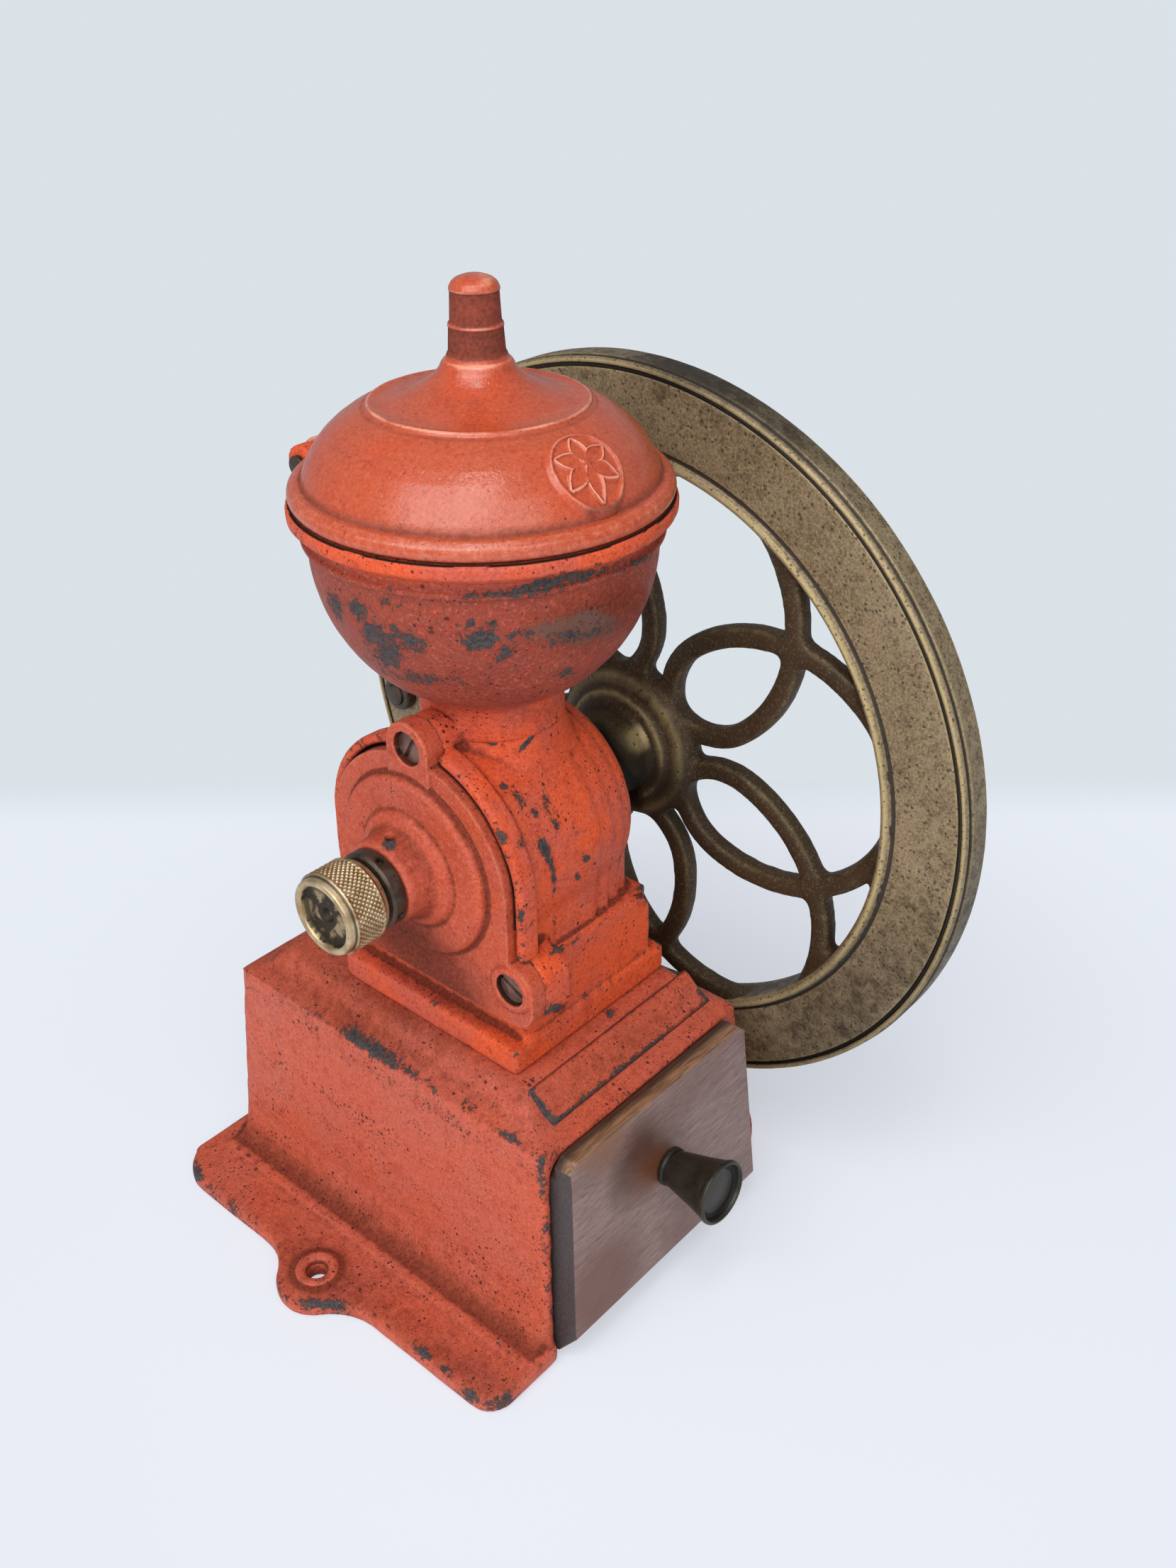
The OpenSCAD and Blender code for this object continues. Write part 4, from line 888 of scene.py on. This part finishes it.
# Dark lines at the steps of the disc, ring and boss, and black in the screw seats and the gap round the
# cover: painted shade. The patches darken the lower part of the cover.
soil_and_shade_amount = 0.9 * peak(far, DISC_R, 0.8) + 0.5 * peak(far, STEP_R, 0.8) + 0.5 * peak(far, BOSS_R, 1.2)
screws = places(NODES["cover_screws"].data)
upper, right = screws[:, 2] > AXLE_Z, screws[:, 1] > AXLE_Y
for pick in (upper, ~upper & right, ~upper & ~right):
    middle = (screws[pick].min(axis=0) + screws[pick].max(axis=0)) / 2
    hole = np.hypot(co[:, 1] - middle[1], co[:, 2] - middle[2])
    soil_and_shade_amount += 1.7 * ((hole < SCREW_SEAT_R) & (co[:, 0] > COVER_FACE - 0.6))
soil_and_shade_amount += 2.0 * cover_gap_shade(co) * (np.abs(far - COVER_R) < 1.2)
note_spots(cover, "dirt_and_shade", COVER_DARK_PATCHES, soil_and_shade_amount)
link("cover_casting", cover, "stand", RED_COVER, ["front_cover"])

# Lid: a turned dome with a finial, the cast knuckle of the hinge and a rosette in a ring
DOME = [
    (46, 4), (47, 0.2), (53, 0.2), (54, 1.2), (54.3, 2.6), (53.8, 4.4), (52.4, 5.7), (50.6, 5.9),
    (50, 6.6), (49.4, 8.4), (48.1, 11), (46.2, 14), (43.7, 17), (40.6, 19.8), (37, 22.4), (33.4, 24.4),
    (31, 25.3), (30.7, 26.3), (29.6, 26.5), (28, 26.1), (24, 26.6), (19, 28.4), (15, 30.6), (12.4, 32.6),
    (10.6, 34.6), (9.9, 36.2), (9.3, 37), (8.6, 37.4), (8.2, 38.6), (7.8, 39.2)]
FINIAL = [
    (7.4, 45.4), (7.6, 45.8), (7.5, 46.5), (7, 46.9), (6.6, 54.8), (6.85, 55.1), (6.75, 55.8), (6.2, 57),
    (5, 58), (2.8, 58.8), (0, 59)]
UNDER = [(0, 29), (8, 27.6), (16, 24.4), (24, 22.2), (30, 21.4), (36, 18.4), (40, 15.4), (43, 12), (45, 8)]
KNUCKLE_HALF = 7.5
RIDGE_R, BEAD_R, LID_LIP = 30.3, 50.3, 52.4
NECK_UP, COLLAR_UP, CAP_UP = 37.2, 46.2, 55.3
ROSETTE_AT, ROSETTE_R, ROSETTE_FALL = (-4.5, -42.2), 11.6, 0.72
PETALS, PETAL_LONG, PETAL_HALF, RING_R = 6, 9.6, 2.6, 10.6
LID_CHIPS = [(470, 632, 8, 8, 0, 0.6)]
LID_DIRT = [(668, 482, 60, 28, 0, 0.35), (650, 570, 40, 14, 0, 0.3)]
LID_GLINTS = [(683, 396, 14, 12, 1.0), (672, 519, 30, 4, 0.8), (672, 532, 26, 3.5, 0.7)]


def dome_height(far):
    run = [p for p in DOME if 31 < p[0] < 50.1 and p[1] > 6][::-1]
    return float(np.interp(far, [p[0] for p in run], [p[1] for p in run]))


def rosette():
    """A ring with six petals, raised on the dome. Heights are a formula of radius and angle."""
    rings, around = 44, 132
    middle = Vector((*ROSETTE_AT, 0))
    away = middle.normalized()
    out = (away * ROSETTE_FALL + Vector(UPWARD) * math.sqrt(1 - ROSETTE_FALL ** 2)).normalized()
    across = Vector(UPWARD).cross(away).normalized()
    down = out.cross(across)
    verts, faces = [], []
    for i in range(rings + 1):
        r = (ROSETTE_R + 1.0) * i / rings
        leaf_half = PETAL_HALF * math.sin(math.pi * min(1.0, r / PETAL_LONG))
        for j in range(around):
            t = 2 * math.pi * j / around
            at = middle + across * (r * math.cos(t)) + down * (r * math.sin(t))
            ground = Vector((at.x, at.y, dome_height(math.hypot(at.x, at.y))))
            turn = (t * PETALS / (2 * math.pi)) % 1.0 - 0.5
            leaf = abs(turn) * 2 * math.pi / PETALS * r - leaf_half
            line = peak(leaf, 0, 0.5) * (r < PETAL_LONG) + peak(r, RING_R, 0.75) + peak(r, 0, 1.3)
            lift = min(1.0, line) * 0.8 + 0.25 - 0.9 * max(0.0, r - ROSETTE_R)
            verts.append((ground + out * lift + Vector((0, AXLE_Y, RIM_Z))) * MM)
    for i in range(rings):
        for j in range(around):
            n = (j + 1) % around
            low, high = i * around, (i + 1) * around
            faces.append((low + j, high + j, high + n, low + n))
    return sealed("rosette", verts, faces)


dome = lathe(rounded(UNDER + DOME + FINIAL, 0.5, 3, 1.2), 240, UPWARD, (0, AXLE_Y, RIM_Z))
knuckle = casting("lid", voxel=0.7, rounds=3)
co = places(knuckle)
knuckle = trimmed(knuckle, (co[:, 1] - AXLE_Y > HINGE_OUT + 1) & (np.abs(co[:, 0]) < KNUCKLE_HALF))
lid = joined(dome, knuckle, rosette())
weathered(lid, 12, 0.06, 6, LID_CHIPS)
co = places(lid)
far, up = from_mast(co), co[:, 2] - RIM_Z
# Painted highlights on the ridge, the collar and the cap, with glints, broken up by noise.
worn = np.array([0.5 + 0.5 * noise.noise(Vector(p) / (7 * MM)) for p in co_of(lid)])
ridge_highlight = 0.34 * peak(far, RIDGE_R, 0.4) * (up > 24) + 0.3 * peak(up, COLLAR_UP, 0.5)
finial_highlight = 0.2 * peak(up, CAP_UP, 0.4) + 0.2 * peak(up, NECK_UP, 0.4) * (far < 11)
add_note(lid, "edge", ridge_highlight * worn ** 1.5 + (finial_highlight + 0.3 * glints(lid, LID_GLINTS)) * worn)
# Dark lines under the ridge, the steps of the finial and the bead, and black under the lip, are painted
# shade; the finial's shaft is darker all round.
soil_and_shade_amount = 0.6 * peak(far, RIDGE_R + 1.6, 0.6) * (up > 23) + 0.8 * peak(far, BEAD_R, 0.7) * (up > 5)
soil_and_shade_amount += 0.85 * ramp(up, NECK_UP + 0.4, NECK_UP + 2.6) * ramp(up, CAP_UP + 0.7, CAP_UP - 0.5)
soil_and_shade_amount += 0.5 * peak(up, NECK_UP + 1.7, 0.5) + 0.5 * peak(up, CAP_UP - 1.3, 0.8)
soil_and_shade_amount += 0.6 * peak(up, COLLAR_UP - 1.6, 0.7) - 0.8 * peak(up, COLLAR_UP + 0.1, 0.5)
soil_and_shade_amount += 2.0 * ((up < 0.8) & (far > LID_LIP))
note_spots(lid, "dirt_and_shade", LID_DIRT, soil_and_shade_amount)
link("lid_casting", lid, "lid", RED_LID, ["lid"])

# Flywheel: a turned rim, and cast arms and hub rounded all round
FACE, REAR = WHEEL_X, WHEEL_X + RIM_T
BORE_BEAD = [(0, 0.6), (0.8, -0.6), (2, -1.2), (3.2, -0.6), (3.8, 0.8), (4.8, 1)]
TREAD_BEAD = [
    (3.6, 0.8), (3.3, 1.7), (2.5, 1.7), (2.1, 0.4), (1.2, 0.3), (0.5, 1), (0.4, 2), (1.2, 2.4),
    (1.2, 3.1), (0, 3.5)]
TREAD_REAR, BORE_REAR = [(0, 1.4), (1.2, 0.2), (3, 0), (4, 1)], [(5, 1), (4, 0), (1, 0), (0, 1)]
RIM_LINE = [(RIM_IN + r, FACE + h) for r, h in BORE_BEAD] + [(WHEEL_R - r, FACE + h) for r, h in TREAD_BEAD]
RIM_LINE += [(WHEEL_R - r, REAR - h) for r, h in TREAD_REAR] + [(RIM_IN + r, REAR - h) for r, h in BORE_REAR]
RIM_LINE.append(RIM_LINE[0])
RIM_DARK_PATCHES = [(1180, 1440, 220, 90, -40, 0.6), (1040, 560, 160, 60, 25, 0.45), (960, 520, 70, 30, 10, 0.3)]
rim = lathe(rounded(RIM_LINE, 0.3, 2, 1.5), 360, WHEELWARD, (0, AXLE_Y, AXLE_Z))
uneven(rim, 10, 0.06)
note_edges(rim, 3)
co = places(rim)
far, behind = from_axle(co), co[:, 0] - FACE
from_tread, from_bore = WHEEL_R - far, far - RIM_IN
# Dark lines in the grooves, at the bore edge and behind the tread bead: painted shade.
groove_shade = 1.4 * (np.abs(from_tread - 2.9) < 0.65) + 1.3 * (np.abs(from_bore - 4.3) < 0.6)
soil_and_shade_amount = groove_shade * (behind < 3) + 0.5 * (from_bore < 0.5) + 0.32 * (from_tread < 0.4)
soil_and_shade_amount += 1.5 * (from_tread > 0.6) * (from_tread < 2) * (behind > 2.1) * (behind < 3.4)
note_spots(rim, "dirt_and_shade", RIM_DARK_PATCHES, soil_and_shade_amount)
# Bright lines on the beads: painted highlight.
bead_highlight = 0.14 * peak(from_bore, 2, 0.9) + 0.12 * peak(from_tread, 1.5, 0.6)
add_note(rim, "edge", bead_highlight * (behind < 1))
link("wheel_rim_turned", rim, "crank", RIM_IRON)

HUB_R, HUB_STEP, HUB_SOFT_FROM, HUB_SOFT_ALL, PLATE_R = 17.0, 4.2, 24.0, 30.0, 34.0
HUB_GLINTS = [(905, 1042, 20, 22, 0.5)]
HUB_SHADE = [
    (850, 1040, 16, 8, 60, 2.2), (866, 1066, 18, 8, 62, 2.2), (882, 1094, 18, 8, 65, 2.2),
    (893, 1120, 16, 8, 70, 2.2), (925, 1095, 40, 26, 40, 0.7), (960, 1150, 70, 60, 0, 0.4)]
arms = casting("flywheel", voxel=0.85, rounds=2)
far = from_axle(places(arms))
loose = ramp(far, HUB_SOFT_FROM, HUB_SOFT_ALL)
put_co(arms, softened(co_of(arms), edge_ends(arms), 16, 0.5 * loose[:, None]))
arms = trimmed(arms, far < RIM_IN + 1.4)
uneven(arms, 10, 0.08)
note_edges(arms, 6)
co, nor = places(arms), normals_of(arms)
far = from_axle(co)
hub_end = co[far < HUB_R, 0].min()
on_hub = (far < HUB_R) & (co[:, 0] < WHEEL_X + 4)
plate_highlight = (far >= HUB_R) * ramp(far, PLATE_R, HUB_SOFT_FROM) * ramp(nor[:, 0], 0, -1)
# Painted highlights: the glint, the upward faces of the hub and the plate's face towards the knob.
gleam = glints(arms, HUB_GLINTS) + 0.12 * np.clip(nor[:, 2] * 1.2 - 0.1, 0, 1)
add_note(arms, "edge", on_hub * gleam + 0.2 * plate_highlight)
# Painted shade: black at the hub's near end, darker on its lower side and at the listed spots.
soil_and_shade_amount = 2.0 * (co[:, 0] < hub_end + HUB_STEP) + 0.28 + 0.9 * ramp(nor[:, 2], 0.3, -0.7)
note_spots(arms, "dirt_and_shade", HUB_SHADE, on_hub * soil_and_shade_amount)
link("wheel_arms_cast", arms, "crank", ARM_IRON, ["flywheel"])

# Small metal parts
for node, body_name, bevel, mat, slot in (
        ("cover_screws", "stand", 0.35, SCREW, "steel"), ("lock_ring", "lock", 0.3, DARK, "dark_steel"),
        ("spindle_nut", "crank", 0.4, DARK, "dark_steel"), ("hub_nut", "crank", 0.5, STEEL, "steel"),
        ("hub_washer", "crank", 0.25, STEEL, "steel"), ("handle_spindle", "crank", 0.4, DARK, "steel"),
        ("grip_screw", "crank", 0.3, STEEL, "steel"), ("hinge_pin", "stand", 0.3, DARK, "steel"),
        ("rear_bush", "stand", 0.4, DARK, "brass"), ("hopper_screw", "stand", 0.2, DARK, "steel")):
    link(node + "_part", crisp(node, bevel), body_name, mat, [node])

# Knurled adjusting knob, with points on its flat face that carry the dirt and shade amounts
KNOB_BACK = -56.4
KNURL_R, KNURL_DEEP, KNURL_COUNT, KNURL_SAMPLES = 13.2, 0.62, 46, 8
KNURL_LOW, KNURL_HIGH, KNURL_ROWS, KNURL_FADE = 3.0, 13.2, 46, 0.6
KNOB_REAR = [
    (6.4, 12.4), (6.4, 0.0), (11.0, 0.0), (11.5, 0.4), (11.6, 1.0), (11.6, 2.3), (12.0, 2.6), (12.5, 2.8)]
KNOB_FRONT = [
    (12.4, 13.5), (12.2, 13.9), (12.2, 15.4), (11.9, 15.9), (11.4, 16.0), (10.6, 16.0), (10.1, 15.8),
    (9.8, 15.0), (9.6, 14.1), (9.3, 13.9), (7.6, 13.8), (5.8, 13.8), (4.2, 13.8), (2.6, 13.8),
    (2.2, 13.6), (2.2, 9.2), (0.0, 9.0)]


def ridge(turns):
    return np.abs((turns % 1.0) - 0.5) * 2


def knurled_knob():
    rows = [KNURL_LOW + (KNURL_HIGH - KNURL_LOW) * i / KNURL_ROWS for i in range(KNURL_ROWS + 1)]
    outline = KNOB_REAR + [(KNURL_R, h) for h in rows] + KNOB_FRONT
    me = lathe(outline, KNURL_COUNT * KNURL_SAMPLES, KNOBWARD, (KNOB_BACK, AXLE_Y, AXLE_Z))
    co = places(me)
    y, z = co[:, 1] - AXLE_Y, co[:, 2] - AXLE_Z
    r, h = np.hypot(y, z), KNOB_BACK - co[:, 0]
    t = np.arctan2(z, y) / (2 * np.pi) * KNURL_COUNT
    pitch = 2 * np.pi * KNURL_R / KNURL_COUNT
    crest = np.minimum(ridge(t + h / pitch), ridge(t - h / pitch))
    ends = ramp(h, KNURL_LOW, KNURL_LOW + KNURL_FADE) * ramp(h, KNURL_HIGH, KNURL_HIGH - KNURL_FADE)
    zone = (np.abs(r - KNURL_R) < 0.01) * ends
    k = 1 - zone * KNURL_DEEP * (1 - np.minimum(crest * 1.3, 1)) / np.maximum(r, 1)
    co[:, 1], co[:, 2] = AXLE_Y + y * k, AXLE_Z + z * k
    put_co(me, co * MM)
    note_edges(me, 5)
    note(me, "dirt_and_shade", (h > 13) * ramp(r, 10.4, 9.8) * (0.55 + 0.6 * (r < 3)))
    return me


link("adjuster_knob_knurled", knurled_knob(), "adjuster", BRASS, ["adjuster_knob"])

# Hand grip and drawer pull
GRIP_LOW, GRIP_HIGH = (Vector(v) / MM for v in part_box("handle_grip"))
GRIP_LONG, GRIP_BORE = 84, 4.2
GRIP_LINE = [
    (8.4, 0), (9.4, 1), (9.4, 3.4), (8.2, 5), (8, 7), (8.6, 11.8), (9.8, 18.5), (11.6, 30.2),
    (12.7, 43.7), (13, 55.4), (12.6, 65.5), (11, 73.9), (8.4, 80.6), (7, GRIP_LONG)]
grip_axis = (GRIP_LOW + GRIP_HIGH) / 2
grip_line = [(GRIP_BORE, GRIP_LONG), (GRIP_BORE, 0)] + GRIP_LINE + [(GRIP_BORE, GRIP_LONG)]
grip = lathe(rounded(grip_line, 1.2, 4, 2.0), 96, WHEELWARD, (GRIP_LOW.x, grip_axis.y, grip_axis.z))
note_edges(grip, 4)
link("hand_grip_turned", grip, "grip", GRIP, ["handle_grip"])

FRONT_TILT = math.atan(7.0 / BOX_TOP)
FRONT_OUT = Vector((0, -math.cos(FRONT_TILT), math.sin(FRONT_TILT)))
FRONT_UP = Vector((0, math.sin(FRONT_TILT), math.cos(FRONT_TILT)))
PULL_AT = Vector((0, -85.27, 49.51))
PULL_LINE = [
    (0, 0), (6.2, 0), (6.6, 0.4), (6.6, 1.7), (6.1, 2.2), (6.2, 3), (8.5, 13.2), (10.2, 19.4),
    (10.9, 20.5), (10.9, 21.6), (10.5, 22), (9.9, 22), (9.4, 21.2), (9, 20.2), (8.2, 19.8), (6, 19.9),
    (3.4, 20.1), (0, 20.2)]
pull = lathe(rounded(PULL_LINE, 0.3, 3, 1.0), 120, FRONT_OUT, PULL_AT)
note_edges(pull, 5)
co = places(pull) - np.array(PULL_AT)
high = co @ np.array(FRONT_OUT)
far = np.sqrt(np.maximum((co * co).sum(1) - high * high, 0))
note(pull, "dirt_and_shade", 0.9 * ((high > 19) & (far > 7.4) & (far < 9.3)) + 0.7 * (np.abs(high - 2.4) < 0.5))
link("drawer_pull_turned", pull, "drawer", BRONZE, ["drawer_knob"])

# Drawer: the proud part of the front reaches up before the casting, to its lip
BOARD_TOP_BAND, BOARD_RAISE, BOARD_LAP = 72.0, 5.2, 7.0


def lapped_front():
    bm = welded(NODES["drawer_front"].data)
    bmesh.ops.dissolve_limit(bm, angle_limit=FLAT, verts=bm.verts, edges=bm.edges)
    behind = (PULL_AT - FRONT_OUT * BOARD_LAP) * MM
    whole = bm.verts[:] + bm.edges[:] + bm.faces[:]
    bmesh.ops.bisect_plane(bm, geom=whole, plane_co=behind, plane_no=FRONT_OUT)
    top = []
    for f in bm.faces:
        middle = f.calc_center_median()
        if f.normal.z > 0.3 and middle.z > BOARD_TOP_BAND * MM and (middle - behind).dot(FRONT_OUT) > 0:
            top.append(f)
    new = bmesh.ops.extrude_face_region(bm, geom=top)["geom"]
    lifted = [g for g in new if isinstance(g, bmesh.types.BMVert)]
    bmesh.ops.translate(bm, verts=lifted, vec=FRONT_UP * BOARD_RAISE * MM)
    bmesh.ops.delete(bm, geom=top, context="FACES_ONLY")
    bmesh.ops.recalc_face_normals(bm, faces=bm.faces)
    break_edges(bm, 1.1, 3, SHARP, True)
    me = meshed(bm, "lapped_front")
    me.set_sharp_from_angle(angle=CREASE)
    return me


link("drawer_front_board", lapped_front(), "drawer", BOARD, ["drawer_front"])
for node in ("drawer_sides", "drawer_back", "drawer_bottom"):
    link(node + "_board", crisp(node, 0.5, 3), "drawer", INNER, [node])

# What stays as CAD inside the mill
for node in ("body_bolts", "burr_ring", "thrust_pad", "shaft", "rotor_burr", "feed_worm", "burr_pin",
             "wheel_key", "knob_screw"):
    coat(NODES[node].data, STEEL)

# Stage and light
WALL_FAR, WALL_SOFT = 655.0, (-18.0, 30.0)
PAPER, FLOOR_FAR, WALL = (236, 240, 248), (231, 236, 245), (218, 226, 232)
SHADE_AT, SHADE_NEAR, SHADE_FAR = (60, -40, 0), 60.0, 330.0
FLOOR_HALF_M = 9
SKY, SKY_STRENGTH = (0.95, 0.975, 1.0, 1), 0.36
LAMP_TARGET_M, LAMP_FAR_M = Vector((0.02, 0, 0.15)), 1.4


def make_stage():
    """A pale floor that turns into a wall tone far behind the object and keeps the soft shadow near it."""
    me = bpy.data.meshes.new("floor")
    h = FLOOR_HALF_M
    me.from_pydata([(-h, -h, 0), (h, -h, 0), (h, h, 0), (-h, h, 0)], [], [(0, 1, 2, 3)])
    floor = bpy.data.objects.new("floor", me)
    show(floor)
    k = Looks("pale_paper")
    deep = k.vec("DOT_PRODUCT", k.vec("SUBTRACT", k.at, Vector((EYE.x, EYE.y, 0))), -bearing(CAM_AZ, 0))
    away = k.step(deep, WALL_FAR + WALL_SOFT[0], WALL_FAR + WALL_SOFT[1])
    k.set("Base Color", PAPER)
    k.set("Roughness", 0.9)
    k.set("Specular IOR Level", 0.1)
    glow = k.node("Emission", Color=k.mix(away, FLOOR_FAR, WALL))
    bare = k.step(k.vec("DISTANCE", k.at, SHADE_AT), SHADE_NEAR, SHADE_FAR, 0.5, 1.0)
    seen = k.node("LightPath").outputs["Is Camera Ray"]
    both = k.node("MixShader")
    k.put(both.inputs[0], k.times(k.math("MAXIMUM", away, bare), seen))
    k.put(both.inputs[1], k.bsdf.outputs[0])
    k.put(both.inputs[2], glow.outputs[0])
    k.put(k.tree.nodes["Material Output"].inputs[0], both.outputs[0])
    me.materials.append(k.mat)


def lamp(name, azimuth, elevation, size, watts):
    data = bpy.data.lights.new(name, "AREA")
    data.shape = "SQUARE"
    data.size = size
    data.energy = watts
    ob = bpy.data.objects.new(name, data)
    back = bearing(azimuth, elevation)
    ob.location = LAMP_TARGET_M + back * LAMP_FAR_M
    ob.rotation_mode = "QUATERNION"
    ob.rotation_quaternion = back.to_track_quat("Z", "Y")
    show(ob)


def make_light():
    world = bpy.data.worlds.new("studio")
    bpy.context.scene.world = world
    world.use_nodes = True
    tree = world.node_tree
    sky = tree.nodes["Background"]
    sky.inputs["Color"].default_value = SKY
    sky.inputs["Strength"].default_value = SKY_STRENGTH
    pale = tree.nodes.new("ShaderNodeBackground")
    pale.inputs["Color"].default_value = linear(WALL)
    seen = tree.nodes.new("ShaderNodeLightPath")
    both = tree.nodes.new("ShaderNodeMixShader")
    tree.links.new(seen.outputs["Is Camera Ray"], both.inputs[0])
    tree.links.new(sky.outputs[0], both.inputs[1])
    tree.links.new(pale.outputs[0], both.inputs[2])
    tree.links.new(both.outputs[0], tree.nodes["World Output"].inputs[0])
    lamp("key", -76, 42, 1.2, 15.0)
    lamp("fill", -30, 32, 1.0, 6.0)
    lamp("glint", -48, 69, 0.3, 2.4)
    bpy.context.scene.view_settings.view_transform = "Standard"


make_stage()
make_light()
